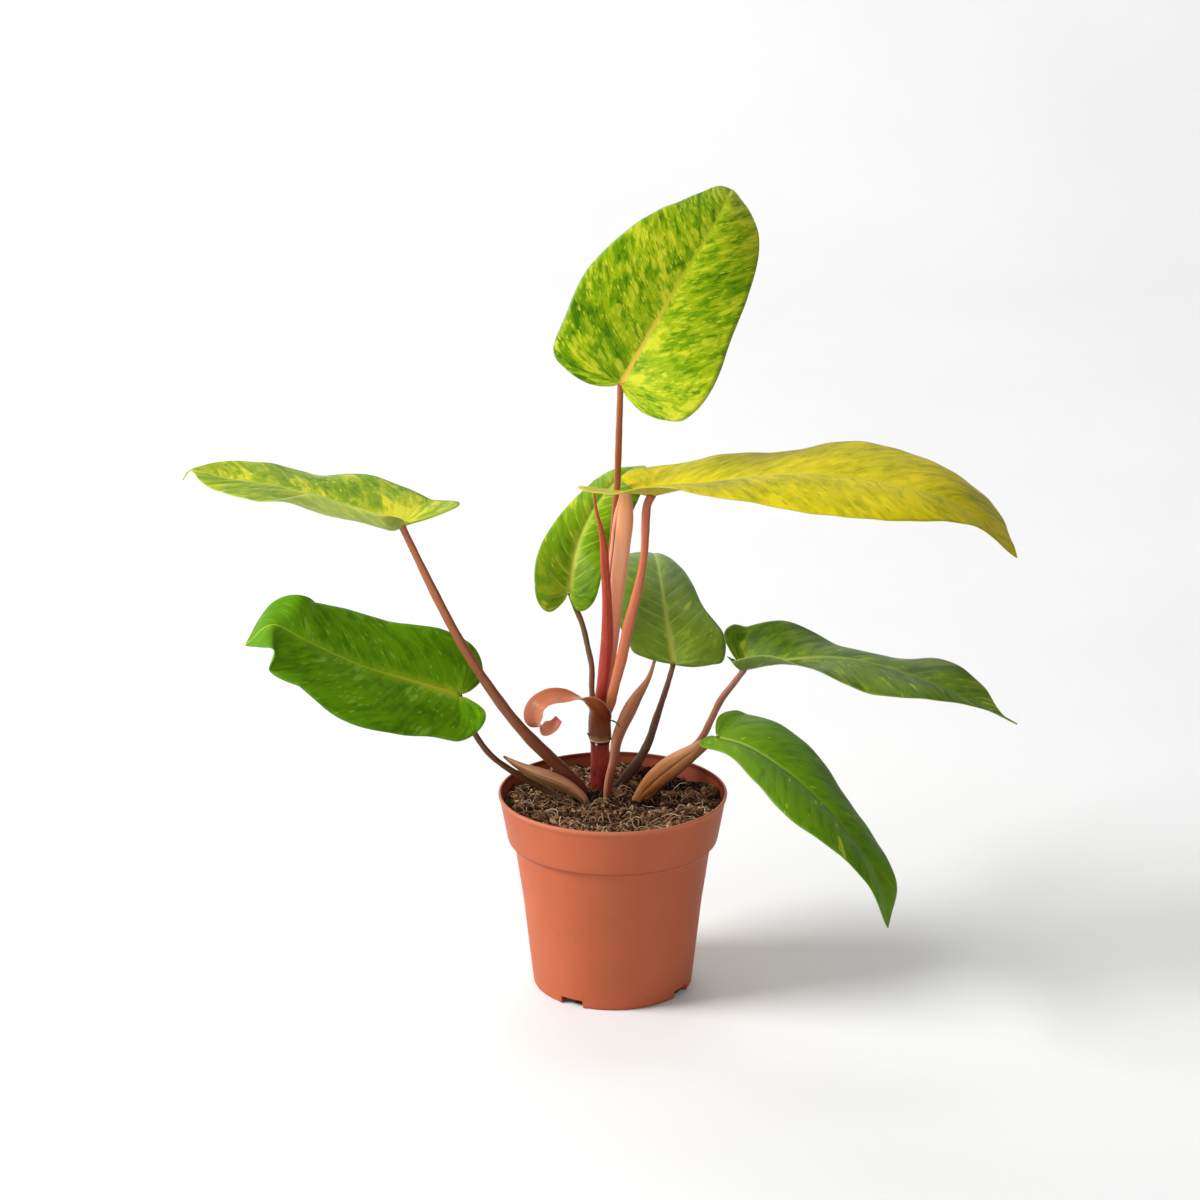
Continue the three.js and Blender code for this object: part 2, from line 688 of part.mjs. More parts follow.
// The soil's surface: a low mound round the crown, two hollows, and lumps
function soilHeight(x, y) {
  const bump = (cx, cy, size, height) => {
    const distance = Math.hypot(x - cx, y - cy);
    return height * Math.exp(-((distance / size) ** 2) / 2);
  };
  const lumps = 0.9 * Math.sin(0.31 * x + 0.9) * Math.sin(0.27 * y + 0.4)
    + 0.6 * Math.sin(0.19 * x - 0.34 * y) + 0.4 * Math.sin(0.53 * x + 0.21 * y + 2);
  const mound = bump(CROWN[0], CROWN[1], 16, 1.5);
  const hollows = bump(33, 26, 9, -5) + bump(24, -6, 5, -3);
  return SOIL_LEVEL + mound + hollows + lumps;
}

function soilSolid() {
  const wallAt = (z) => {
    const innerTop = RIM_RADIUS - WALL;
    const innerBand = BAND_BOTTOM_RADIUS - WALL;
    return innerBand + ((z - BAND_BOTTOM) / (POT_HEIGHT - BAND_BOTTOM)) * (innerTop - innerBand) - 2 * GAP;
  };
  const skirt = [
    [BAND_BOTTOM_RADIUS - WALL - GAP, BAND_BOTTOM + 1],
    [SHOULDER_RADIUS - WALL - 2 * GAP, SHOULDER_Z],
    [BASE_RADIUS - WALL - 0.2 - GAP, FLOOR + GAP],
  ];
  const points = [new THREE.Vector3(0, 0, soilHeight(0, 0))];
  for (let ring = 1; ring <= SOIL_RINGS + skirt.length; ring += 1) {
    for (let k = 0; k < SOIL_SEGMENTS; k += 1) {
      const angle = (2 * Math.PI * k) / SOIL_SEGMENTS;
      const fraction = Math.min(ring / SOIL_RINGS, 1);
      let radius = wallAt(SOIL_LEVEL - 2) * fraction;
      let z = soilHeight(radius * Math.cos(angle), radius * Math.sin(angle));
      if (ring > SOIL_RINGS) [radius, z] = skirt[ring - SOIL_RINGS - 1];
      points.push(new THREE.Vector3(radius * Math.cos(angle), radius * Math.sin(angle), z));
    }
  }
  const last = points.push(new THREE.Vector3(0, 0, FLOOR + GAP)) - 1;
  const at = (ring, k) => 1 + (ring - 1) * SOIL_SEGMENTS + (k % SOIL_SEGMENTS);
  const rings = SOIL_RINGS + skirt.length;
  const index = [];
  for (let k = 0; k < SOIL_SEGMENTS; k += 1) {
    index.push(0, at(1, k), at(1, k + 1), last, at(rings, k + 1), at(rings, k));
    for (let ring = 1; ring < rings; ring += 1) {
      index.push(at(ring, k), at(ring + 1, k), at(ring + 1, k + 1));
      index.push(at(ring, k), at(ring + 1, k + 1), at(ring, k + 1));
    }
  }
  return toSolid(closedGeometry(points, index));
}

function stemGeometry(grow = 0) {
  const r = STEM_RADIUS + grow;
  const profile = [
    [0, STEM_BOTTOM - grow],
    [r - 0.6, STEM_BOTTOM - grow],
    [r, SOIL_LEVEL + 2],
    [r, NODE_HEIGHT - 3],
    [r + 0.6, NODE_HEIGHT - 1.4],
    [r + 0.6, NODE_HEIGHT - 0.2],
    [r + 0.1, NODE_HEIGHT + 0.7],
    [r, STEM_TOP + grow],
    [0, STEM_TOP + grow],
  ];
  const geometry = turned(profile, 16);
  geometry.translate(STEM_X, STEM_Y, 0);
  return geometry;
}

// Every piece of the plant, in the order in which it keeps its whole form: a later piece is
// trimmed by a gap's width where an earlier one already lies.
const plant = [
  ...BLADES.map((leaf) => ({
    name: `blade_${leaf.name}`,
    color: leaf.color,
    roughness: 0.45,
    shape: (grow) => bladeGeometry(leaf, grow),
  })),
  { name: 'stem', color: 0x5a2018, roughness: 0.6, shape: stemGeometry },
  { name: 'peeled_sheath', color: 0xc98058, roughness: 0.5, shape: peeledSheathGeometry },
  ...STALKS.map((stalk) => ({
    name: `stalk_${stalk.name}`,
    color: stalk.color,
    roughness: 0.5,
    shape: (grow) => barGeometry(stalk, STALK_SIDES, grow),
  })),
  ...SHEATHS.map((sheath) => ({
    name: sheath.name,
    color: sheath.color,
    roughness: 0.5,
    shape: (grow) => barGeometry(sheath, SHEATH_SIDES, grow),
  })),
];

const philodendron = new THREE.Group();
philodendron.name = 'potted_painted_lady_philodendron';

function addPiece(name, geometry, color, roughness) {
  const material = new THREE.MeshStandardMaterial({ color, roughness, metalness: 0 });
  const mesh = new THREE.Mesh(geometry, material);
  mesh.name = name;
  philodendron.add(mesh);
}

let soil = soilSolid();
CHANNEL_ANGLES.forEach((angle) => {
  soil = soil.subtract(channelRoof(angle, GAP));
});

const placed = [];
plant.forEach((piece) => {
  let solid = toSolid(piece.shape(0));
  const clearance = toSolid(piece.shape(GAP));
  placed.forEach((earlier) => {
    if (solid.intersect(earlier.clearance).volume() > 1e-6) {
      solid = largestPiece(solid.subtract(earlier.clearance));
    }
  });
  placed.push({ clearance });
  soil = soil.subtract(clearance);
  addPiece(piece.name, toGeometry(solid), piece.color, piece.roughness);
});

addPiece('pot', toGeometry(potSolid()), 0xb8603c, 0.55);
addPiece('soil', toGeometry(largestPiece(soil)), 0x6f5338, 0.95);

export default philodendron;
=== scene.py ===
"""A painted lady philodendron in a terracotta-coloured nursery pot, on a pale floor.

The tables of the plant are in millimetres, and MM turns them into the scene's metres.
+Z is up, -Y is the front, and the origin is the middle of the pot's underside.
"""

import math
import random

import bmesh
import bpy
import numpy as np
from mathutils import Matrix, Vector, noise


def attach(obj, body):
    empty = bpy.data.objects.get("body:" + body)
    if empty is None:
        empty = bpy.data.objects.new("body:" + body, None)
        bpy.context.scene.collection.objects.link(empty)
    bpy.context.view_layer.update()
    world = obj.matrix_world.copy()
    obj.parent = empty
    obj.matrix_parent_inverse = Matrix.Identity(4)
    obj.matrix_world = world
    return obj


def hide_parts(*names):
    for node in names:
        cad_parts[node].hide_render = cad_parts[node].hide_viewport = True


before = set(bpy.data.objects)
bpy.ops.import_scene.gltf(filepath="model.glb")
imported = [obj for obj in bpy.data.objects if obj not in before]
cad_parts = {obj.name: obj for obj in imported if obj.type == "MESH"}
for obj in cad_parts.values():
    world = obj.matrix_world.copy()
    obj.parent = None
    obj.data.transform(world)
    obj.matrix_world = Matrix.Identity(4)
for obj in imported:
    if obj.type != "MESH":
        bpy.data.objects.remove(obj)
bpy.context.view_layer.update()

MM = 0.001
BODY = "root"
random.seed(12)

# Camera
CAMERA_HEIGHT_ANGLE = 17.87
CAMERA_DISTANCE = 1.855
CAMERA_AIM = (-0.0067, 0.0, 0.212)
CAMERA_LENS = 108
CAMERA_SENSOR = 36

# Pot, in millimetres. WALL_POINTS are radius and height, from the foot up to the shoulder.
POT_HEIGHT = 107
RIM_RADIUS = 60
BAND_BOTTOM = 82
BAND_BOTTOM_RADIUS = 55.2
SHOULDER_Z = 78.8
SHOULDER_RADIUS = 51.7
BASE_RADIUS = 42
FOOT_ROUNDING = 1.8
WALL_POINTS = ((42.6, 6.2), (44.1, 19.8), (45.6, 33.6), (47.1, 47.4), (49.1, 61.1))
WALL = 1.3
FLOOR = 1.6
CHANNEL_ANGLES = (-31, 59, 149, 239)
CHANNEL_WIDTH = 13
CHANNEL_HEIGHT = 4.4
CHANNEL_INNER_RADIUS = 19
DRAIN_RADIUS = 3
POT_SEGMENTS = 160

# Soil, in millimetres. HOLLOWS are the dark hollows between the clumps: x, y and size.
SOIL_LEVEL = 101.5
CROWN = (-3, 8)
HOLLOWS = ((34, 34, 10), (17, -5, 4), (-19, 4, 5), (-6, 2, 3), (26, 44, 8), (-30, 24, 7))
SOIL_SEGMENTS = 180
SOIL_RINGS = 66
FOOT_CLEARANCE = 3

# Leaves. A half blade's widths and lifts are given at STATIONS, as shares of the blade's length.
# The outlines lead from the stalk to the first one, in shares of its width and of the lobe.
STATIONS = (0.12, 0.3, 0.5, 0.7, 0.88)
LOBE_OUTLINE = ((0.13, -0.52), (0.4, -0.98), (0.7, -0.84), (0.92, -0.2))
SHOULDER_OUTLINE = ((0.13, -0.05), (0.4, -0.25), (0.7, -0.6), (0.92, -0.95))
PLAIN_BULGE = (2, 2, 2, 2, 1)
HALF_THICKNESS = 0.36
EDGE_THINNING = 0.16
MIDRIB_GROOVE = 0.55
MIDRIB_KEEL = 1.1
QUILTING = 0.14
VEIN_SWEEP = 0.45
VEIN_SPACING = 8.5
VEIN_ARCH = 9
VEIN_LEAN = 0.25
LOBE_ROWS = 30
BLADE_ROWS = 120
BLADE_COLUMNS = 16

# Stem, in millimetres, with the ring of scar tissue at NODE_HEIGHT
STEM_X = -6.7
STEM_Y = 15
STEM_BOTTOM = 89
STEM_TOP = 141
STEM_RADIUS = 4.9
NODE_HEIGHT = 131.6
ROOTLETS = (
    ((-11.2, 12.5, 133.4), (-12.6, 11.6, 133.8), (-13.4, 11.2, 135.4)),
    ((-2.6, 12.2, 131.8), (-1.2, 11.0, 131.6), (-0.4, 10.6, 132.8)),
    ((-1.8, 8.0, 143.4), (0.6, 5.6, 143.6), (2.6, 4.2, 142.6), (3.8, 3.6, 141.2)),
)
ROOTLET_RADIUS = 0.45

# Stalks and sheaths
BAR_STEP = 1.2


def srgb(red, green, blue):
    """A colour as a paint chart gives it, 0 to 255, in the linear values that shaders use."""
    channels = [c / 255 for c in (red, green, blue)]
    linear = (c / 12.92 if c <= 0.04045 else ((c + 0.055) / 1.055) ** 2.4 for c in channels)
    return (*linear, 1.0)


# Each blade: spine is its midrib from the stalk to the tip, and face the way its upper side looks
# along it. lift raises a half's margin, bulge crowns it, and lobe is how far it reaches back behind
# the stalk. drip is the length of the thin tip.
BLADES = {
    "top": {
        "spine": [(4, 0, 327), (17.5, 10, 349), (35.5, 28, 376), (53, 50, 400), (61, 73, 411),
                  (62, 92, 404)],
        "face": [(-0.25, -0.85, 0.45), (-0.1, -0.8, 0.6), (0.1, -0.3, 1)],
        "left": {"width": (42, 44.5, 37, 23.5, 5.5), "lift": (8, 4, 3, 1, 1),
                 "lobe": 7.5, "lobe_lift": -5},
        "right": {"width": (46, 39, 33.5, 24, 6.5), "lift": (7, 1, -3, -8, -4),
                  "lobe": 9, "lobe_lift": 0},
        "drip": 0,
        "slot": "yellow_blades",
    },
    "right_yellow": {
        "spine": [(20, 0, 269), (44, -14, 278), (93, -40, 291), (146, -62, 290), (177, -72, 279),
                  (198, -78, 259)],
        "face": [(0.05, -0.1, 1), (0.1, -0.1, 1), (0.5, -0.3, 1)],
        "left": {"width": (34, 37, 44, 39, 30), "lift": (6, 2, 4, 0, -4),
                 "lobe": 24, "lobe_lift": 6},
        "right": {"width": (36, 38, 41, 36, 13), "lift": (10, 0, -6, -4, 2),
                  "lobe": 30, "lobe_lift": 9.5},
        "drip": 0,
        "slot": "yellow_blades",
    },
    "upper_left": {
        "spine": [(-108, 0, 253), (-135, 14, 258), (-173, 30, 264), (-202, 42, 265),
                  (-216, 49, 267), (-222, 52, 266.5), (-226, 54, 261)],
        "face": [(0, 0.1, 1), (0, 0.05, 1), (0, 0, 1)],
        "left": {"width": (27, 31, 30, 25, 12), "lift": (9, 10, 0, -1, -1),
                 "lobe": 5, "lobe_lift": 2, "bulge": (-5, -7, 0, 1, 1)},
        "right": {"width": (30, 32, 31, 26, 16), "lift": (9, 9, 1, 5, 5),
                  "lobe": 23, "lobe_lift": 10},
        "drip": 8,
        "slot": "yellow_blades",
    },
    "lower_left": {
        "spine": [(-80, -8, 163), (-99, -16, 172), (-129, -28, 186), (-155, -37, 202),
                  (-172, -41, 212), (-186, -41, 201)],
        "face": [(-0.1, -0.6, 0.8), (-0.1, -0.6, 0.8), (-0.9, -0.3, 0.5)],
        "left": {"width": (29, 37, 38, 28.5, 19), "lift": (-3, 2, 3, 3, 1),
                 "lobe": 12, "lobe_lift": 8.5},
        "right": {"width": (32, 30, 30, 24, 16.5), "lift": (10, 6, 1, -1, -3),
                  "lobe": 13, "lobe_lift": -1},
        "drip": 0,
        "slot": "green_blades",
    },
    "back_left": {
        "spine": [(-23, 55, 199), (-19, 66, 220), (-8, 84, 239), (7, 108, 249), (18, 130, 247)],
        "face": [(0, -0.8, 0.5), (0, -0.7, 0.7), (0, -0.2, 1)],
        "left": {"width": (20, 16.2, 13, 11, 8), "lift": (4, 0, -3, -3, -2),
                 "lobe": 13, "lobe_lift": 0},
        "right": {"width": (18.3, 17.5, 19, 15, 8), "lift": (8, 0, 0, 0, 0),
                  "lobe": 11, "lobe_lift": 5},
        "drip": 0,
        "slot": "green_blades",
    },
    "back_right": {
        "spine": [(32, 45, 162), (29, 62, 180), (26, 88, 196), (23, 116, 201), (20, 143, 188)],
        "face": [(0, -0.8, 0.5), (0, -0.6, 0.8), (0, 0, 1)],
        "left": {"width": (22, 27, 27, 22, 12), "lift": (2, -4, -2, -1, 0),
                 "lobe": -9, "lobe_lift": 4},
        "right": {"width": (29.5, 21, 16.5, 11, 6), "lift": (-2.5, -3, -4, -4, -2),
                  "lobe": 3.6, "lobe_lift": 1},
        "drip": 0,
        "slot": "green_blades",
    },
    "upper_right": {
        "spine": [(68, 0, 175), (91, -10, 183), (120, -23, 188), (152, -36, 183), (181, -48, 174),
                  (204, -55, 164)],
        "face": [(-0.2, -0.2, 0.9), (0, 0, 1), (0.1, 0, 1)],
        "left": {"width": (26, 21, 24, 22.5, 13.8), "lift": (11.5, -2, -4, 7.5, 5),
                 "lobe": 8.5, "lobe_lift": 10},
        "right": {"width": (15, 21, 26, 22, 8), "lift": (10, 3, -6, -2, 1),
                  "lobe": 1, "lobe_lift": 4, "bulge": (-2, -1, 1, 2, 1)},
        "drip": 8,
        "slot": "green_blades",
    },
    "lower_right": {
        "spine": [(54, -20, 144), (71, -34, 143), (95, -56, 133), (117, -78, 116), (133, -92, 94),
                  (138, -96, 70)],
        "face": [(0.2, -0.3, 0.9), (0.4, -0.3, 0.8), (0.6, -0.4, 0.5)],
        "left": {"width": (27, 26, 20, 17.5, 10), "lift": (3, 1, -2, -2, 2),
                 "lobe": 8, "lobe_lift": 4},
        "right": {"width": (14.5, 22, 27, 20, 10), "lift": (0, -1, -2, 2, 2),
                  "lobe": 3, "lobe_lift": 1.5},
        "drip": 0,
        "slot": "green_blades",
    },
}

# How each blade is painted. tone says where its mottling lies between dark, green, lime and yellow,
# contrast how far it strays, and bias how much yellower the right half is. glow is the yellow at
# the base and rib_glow along the midrib. flecks and dark_flecks are the shares of small marks.
# veins is how pale the side veins are, halo how wide the midrib's border is, gloss the shine, and
# tip_shade how far painted shade darkens the tip. midrib goes from the base to the tip, and under is
# the underside.
PAINTS = {
    "top": {
        "colors": (srgb(66, 108, 3), srgb(105, 142, 6), srgb(144, 168, 16), srgb(190, 197, 44)),
        "midrib": (srgb(220, 172, 72), srgb(158, 176, 34)), "under": srgb(150, 168, 92),
        "tone": 0.46, "contrast": 0.9, "bias": 0.12, "glow": 0.1, "rib_glow": 0.08,
        "flecks": 0.36, "dark_flecks": 0.2, "veins": 0.1, "halo": 2.0, "gloss": 0.06,
        "seed": 3,
    },
    "right_yellow": {
        "colors": (srgb(141, 140, 3), srgb(168, 161, 3), srgb(187, 175, 3), srgb(207, 188, 12)),
        "midrib": (srgb(222, 200, 66), srgb(196, 184, 44)), "under": srgb(182, 172, 64),
        "tone": 0.56, "contrast": 0.95, "bias": 0.0, "glow": 0.2, "rib_glow": 0.1,
        "flecks": 0.06, "dark_flecks": 0.12, "veins": 0.06, "halo": 2.0, "gloss": 0.05,
        "seed": 11,
    },
    "upper_left": {
        "colors": (srgb(90, 125, 7), srgb(120, 148, 12), srgb(152, 166, 27), srgb(199, 196, 46)),
        "midrib": (srgb(192, 194, 64), srgb(172, 188, 76)), "under": srgb(168, 184, 100),
        "tone": 0.47, "contrast": 0.85, "bias": 0.0, "glow": 0.5, "rib_glow": 0.04,
        "flecks": 0.2, "dark_flecks": 0.16, "veins": 0.12, "halo": 2.2, "gloss": 0.08,
        "seed": 23,
    },
    "lower_left": {
        "colors": (srgb(76, 123, 2), srgb(101, 154, 4), srgb(132, 184, 14), srgb(144, 186, 60)),
        "midrib": (srgb(196, 200, 48), srgb(156, 188, 44)), "under": srgb(112, 146, 60),
        "tone": 0.28, "contrast": 0.42, "bias": 0.0, "glow": 0.16, "rib_glow": 0.06,
        "flecks": 0.16, "dark_flecks": 0.1, "veins": 0.26, "halo": 5.5, "gloss": 0.1,
        "tip_shade": 0.75, "seed": 31,
    },
    "back_left": {
        "colors": (srgb(81, 124, 4), srgb(114, 151, 12), srgb(148, 172, 23), srgb(197, 199, 52)),
        "midrib": (srgb(208, 214, 88), srgb(184, 206, 72)), "under": srgb(128, 160, 70),
        "tone": 0.4, "contrast": 0.55, "bias": -0.06, "glow": 0.06, "rib_glow": 0.08,
        "flecks": 0.1, "dark_flecks": 0.06, "veins": 0.6, "halo": 3.6, "gloss": 0.1,
        "seed": 47,
    },
    "back_right": {
        "colors": (srgb(89, 116, 17), srgb(110, 139, 27), srgb(134, 161, 37), srgb(178, 193, 68)),
        "midrib": (srgb(166, 168, 58), srgb(158, 182, 84)), "under": srgb(108, 132, 66),
        "tone": 0.36, "contrast": 0.5, "bias": 0.0, "glow": 0.06, "rib_glow": 0.0,
        "flecks": 0.02, "dark_flecks": 0.06, "veins": 0.42, "halo": 3.0, "gloss": 0.38,
        "seed": 53,
    },
    "upper_right": {
        "colors": (srgb(59, 87, 2), srgb(84, 112, 7), srgb(118, 140, 17), srgb(152, 164, 48)),
        "midrib": (srgb(150, 156, 70), srgb(118, 140, 52)), "under": srgb(134, 148, 84),
        "tone": 0.3, "contrast": 0.6, "bias": 0.0, "glow": 0.24, "rib_glow": 0.02,
        "flecks": 0.07, "dark_flecks": 0.12, "veins": 0.14, "halo": 2.0, "gloss": 0.2,
        "seed": 61,
    },
    "lower_right": {
        "colors": (srgb(72, 110, 4), srgb(93, 132, 7), srgb(119, 152, 15), srgb(182, 190, 55)),
        "midrib": (srgb(152, 178, 60), srgb(116, 150, 40)), "under": srgb(112, 148, 62),
        "tone": 0.3, "contrast": 0.4, "bias": 0.0, "glow": 0.08, "rib_glow": 0.0,
        "flecks": 0.014, "dark_flecks": 0.04, "veins": 0.1, "halo": 1.6, "gloss": 0.14,
        "seed": 73,
    },
}

# Each stalk: its points and radii from the leaf down, and its colours from the leaf to the foot.
STALKS = {
    "right_yellow": {
        "path": [(19, 0.3, 266.8), (17, 0.5, 260), (16, 1, 237), (13, 2, 218), (8, 3, 197),
                 (5, 4.5, 181), (0.4, 6.5, 161), (-1.2, 11.6, 151), (-4.2, 13.4, 142)],
        "radius": (2.3, 1.9, 2.1, 2.6, 2.8, 2.9, 2.8, 2.6, 2.2),
        "colors": (srgb(184, 98, 66), srgb(206, 112, 78), srgb(200, 118, 72)),
    },
    "top": {
        "path": [(3.7, 1, 324.8), (3, 6, 301), (2, 12, 268), (0, 16.5, 239), (-2, 19, 206),
                 (-4, 19.6, 173), (-5.2, 19.6, 155), (-5.6, 18.4, 141.4)],
        "radius": (1.7, 1.7, 1.8, 1.9, 2, 2, 2, 2),
        "colors": (srgb(166, 92, 56), srgb(160, 84, 44), srgb(150, 72, 44)),
    },
    "back_left": {
        "path": [(-22.5, 57, 197), (-20, 57, 190), (-16, 50, 182), (-13, 40, 172), (-11, 32, 164),
                 (-11, 25, 154), (-9.4, 18.9, 141.6)],
        "radius": (1.5, 1.5, 1.5, 1.5, 1.5, 1.5, 1.4),
        "colors": (srgb(116, 86, 44), srgb(114, 82, 46), srgb(120, 76, 48)),
    },
    "back_right": {
        "path": [(32, 46.3, 160), (28.5, 42, 149), (23, 35, 134), (19, 30, 123), (13, 26, 113),
                 (6, 22, 105), (1, 21, 97), (0, 21, 90)],
        "radius": (1.5, 1.6, 2, 2.2, 2.4, 2.7, 2.8, 2.8),
        "colors": (srgb(122, 74, 48), srgb(88, 56, 28), srgb(62, 38, 16)),
    },
    "upper_left": {
        "path": [(-107.8, 0, 251.1), (-90, -8, 215), (-75, -12, 187), (-58, -10, 159),
                 (-44, -5, 139), (-26, 4, 117), (-16, 9, 103), (-14.5, 10, 91)],
        "radius": (2, 2.3, 2.4, 2.6, 2.9, 3.3, 3.3, 3.1),
        "colors": (srgb(182, 106, 70), srgb(148, 88, 56), srgb(112, 44, 26)),
    },
    "lower_left": {
        "path": [(-79, -6.5, 160.8), (-74, -5, 145), (-65, -2, 129), (-53, 3, 117), (-37, 6, 106),
                 (-23, 4, 98), (-19, 3, 90)],
        "radius": (1.6, 1.6, 1.6, 1.7, 1.8, 1.8, 1.8),
        "colors": (srgb(104, 70, 46), srgb(106, 66, 34), srgb(96, 60, 30)),
    },
    "upper_right": {
        "path": [(67.5, 0.2, 173.3), (62, -1, 166), (56, -2, 158), (51, -2, 147), (46.5, -1, 137),
                 (39, 2, 127), (28, 6, 114), (20, 9, 102), (16, 9, 91)],
        "radius": (1.7, 1.8, 1.8, 1.9, 2, 2, 2, 2, 2),
        "colors": (srgb(160, 98, 80), srgb(144, 90, 56), srgb(104, 54, 22)),
    },
    "lower_right": {
        "path": [(53.7, -19, 142.6), (50, -12.5, 138), (44, -7, 130), (35, -3, 120), (25, 0, 110),
                 (17, 3, 99), (13, 3, 90)],
        "radius": (1.5, 1.6, 1.7, 1.8, 1.8, 1.8, 1.8),
        "colors": (srgb(150, 98, 56), srgb(124, 76, 34), srgb(100, 58, 26)),
    },
}

# Each sheath, from its tip down. flat is thickness over width, face the way its broad side looks,
# and fold where its overlapping edge lies across its front, from -1 to 1. turned is the colour that
# it takes across from one place to another, painted light on the front and right sheaths' lit sides
# and painted shade on the left sheath's lower side.
SHEATHS = {
    "new_leaf_spear": {
        "path": [(-9.8, 6, 267.5), (-8.5, 5.6, 258), (-5, 5, 242), (-4, 6.5, 226), (-3, 8, 209),
                 (-3, 9, 187), (-5, 10.5, 165), (-7.2, 12.8, 152), (-9.3, 14.6, 141.7)],
        "radius": (0.5, 1.1, 2.2, 2.4, 2.7, 3.3, 3.4, 2.9, 2.2),
        "flat": 0.95,
        "face": (0, -1, 0),
        "colors": (srgb(178, 84, 40), srgb(178, 60, 32), srgb(172, 56, 38), srgb(168, 60, 42)),
        "slot": "spear",
    },
    "broad_sheath": {
        "path": [(6.3, 6.2, 268.3), (6.2, 6.4, 263.5), (5.3, 8, 253), (4, 9.8, 240),
                 (1.5, 12.8, 215), (0, 14.4, 190), (-2, 15.4, 168), (-2.8, 16, 152),
                 (-2.6, 16.2, 141.3)],
        "radius": (2.8, 5.2, 5.2, 4.9, 4.2, 3.4, 3, 2.5, 2),
        "flat": 0.45,
        "fold": 0.75,
        "face": (0, -1, 0),
        "colors": (srgb(246, 172, 110), srgb(250, 178, 138), srgb(244, 158, 122), srgb(210, 114, 84)),
        "turned": (srgb(240, 156, 130), 0.5, 0.95),
        "slot": "young_sheath",
    },
    "front_sheath": {
        "path": [(23, 50, 164), (19, 41, 155), (12, 30, 147), (6, 19, 139), (2, 10, 131),
                 (0.5, 7, 121), (-2, 5.5, 111), (-3, 5, 100), (-3, 5, 91)],
        "radius": (0.8, 1.4, 2.9, 3.9, 3.5, 2.7, 2.4, 2.2, 2),
        "flat": 0.5,
        "fold": -0.35,
        "face": (0.3, -1, 0.2),
        "colors": (srgb(212, 146, 112), srgb(196, 124, 84), srgb(172, 92, 70), srgb(128, 48, 36)),
        # Painted light: the left side, turned to the light, is paler.
        "turned": (srgb(226, 150, 112), 0.1, 0.8),
        "slot": "dry_sheath",
    },
    "left_sheath": {
        "path": [(-57, -5, 128), (-50, -4, 123), (-41, -3, 118), (-32, -2, 114), (-23, -1, 109),
                 (-15, -1, 102), (-13, -1, 91)],
        "radius": (0.6, 2.2, 3.7, 4.1, 3.4, 2.3, 1.8),
        "flat": 0.4,
        "fold": 0.2,
        "face": (0.2, -1, 0.5),
        "colors": (srgb(246, 186, 146), srgb(240, 178, 138), srgb(226, 156, 122), srgb(184, 108, 82)),
        # Painted shade: the lower side is a darker olive.
        "turned": (srgb(134, 90, 42), 0.1, 0.5),
        "slot": "dry_sheath",
    },
    "right_sheath": {
        "path": [(47, -16, 141), (41, -15.5, 135), (33, -13, 128), (26, -10, 121), (19, -7, 113),
                 (13, -4, 104), (8, -1, 91)],
        "radius": (1.2, 3.9, 5.2, 5.4, 4, 2.3, 1.8),
        "flat": 0.35,
        "fold": -0.1,
        "face": (-0.2, -1, 0.4),
        "colors": (srgb(150, 98, 50), srgb(152, 92, 40), srgb(142, 84, 32), srgb(132, 90, 30)),
        # Painted highlight: a paler salmon ridge along the upper left edge.
        "turned": (srgb(190, 122, 70), 0.4, 0.9),
        "slot": "dry_sheath",
    },
}

# The peeled sheath, from the collar on the stem to the end of its curl. across is the way that its
# width runs, half_width is measured round its curve, and bend is half the curve's angle.
PEELED_SHEATH = {
    "path": [(-6.7, 9.1, 131.5), (-6.9, 8.6, 140.3), (-7.6, 6.4, 148.6), (-12, 4.8, 154.3),
             (-18, 3.6, 157), (-25, 2, 158.6), (-32.5, -0.5, 159), (-38.6, -2.5, 156),
             (-41, -3.5, 150.8), (-40, -4.2, 146.4), (-36, -4.5, 143.6), (-31.3, -4.2, 144.8),
             (-28.2, -3.6, 148.4)],
    "across": [(1, 0, 0), (1, 0, 0), (0.9, -0.35, 0.15), (0.6, -0.7, 0.45), (0.2, -0.95, 0.15),
               (0.15, -0.92, -0.3), (0.3, -0.85, -0.4), (0.6, -0.72, -0.3), (0.8, -0.55, -0.25),
               (0.8, -0.5, -0.3), (0.7, -0.55, -0.4), (0.6, -0.65, -0.45), (0.6, -0.7, -0.4)],
    "half_width": (8.6, 7.8, 6.2, 6, 5.8, 5.8, 5.8, 5.8, 5.8, 5.6, 4.8, 3.6, 2.7),
    "bend": (1.45, 1.3, 0.7, 0.5, 0.4, 0.3, 0.3, 0.3, 0.3, 0.3, 0.3, 0.25, 0.2),
}


# Curves

def smooth(values, t):
    """Numbers or points given at even stations from 0 to 1, joined by a smooth line, at t."""
    values = np.asarray(values, float)
    ends = np.concatenate([[2 * values[0] - values[1]], values, [2 * values[-1] - values[-2]]])
    place = np.clip(np.asarray(t, float), 0, 1) * (len(values) - 1)
    i = np.minimum(place.astype(int), len(values) - 2)
    f = place - i
    if values.ndim > 1:
        f = f[..., None]
    a, b, c, d = (ends[i + k] for k in range(4))
    return 0.5 * (2 * b + (c - a) * f + (2 * a - 5 * b + 4 * c - d) * f**2
                  + (3 * b - a - 3 * c + d) * f**3)


def unit(vectors):
    return vectors / np.maximum(np.linalg.norm(vectors, axis=-1, keepdims=True), 1e-9)


class Line:
    """A smooth line through points, read by the distance along it."""

    def __init__(self, points, count=800):
        self.points = smooth(points, np.linspace(0, 1, count))
        steps = np.linalg.norm(np.diff(self.points, axis=0), axis=1)
        self.distance = np.concatenate([[0], np.cumsum(steps)])
        self.length = self.distance[-1]
        self.slopes = np.gradient(self.points, self.distance, axis=0)

    def read(self, table, distance):
        return np.stack([np.interp(distance, self.distance, column) for column in table.T], -1)

    def at(self, distance):
        return self.read(self.points, distance)

    def heading(self, distance):
        return unit(self.read(self.slopes, distance))


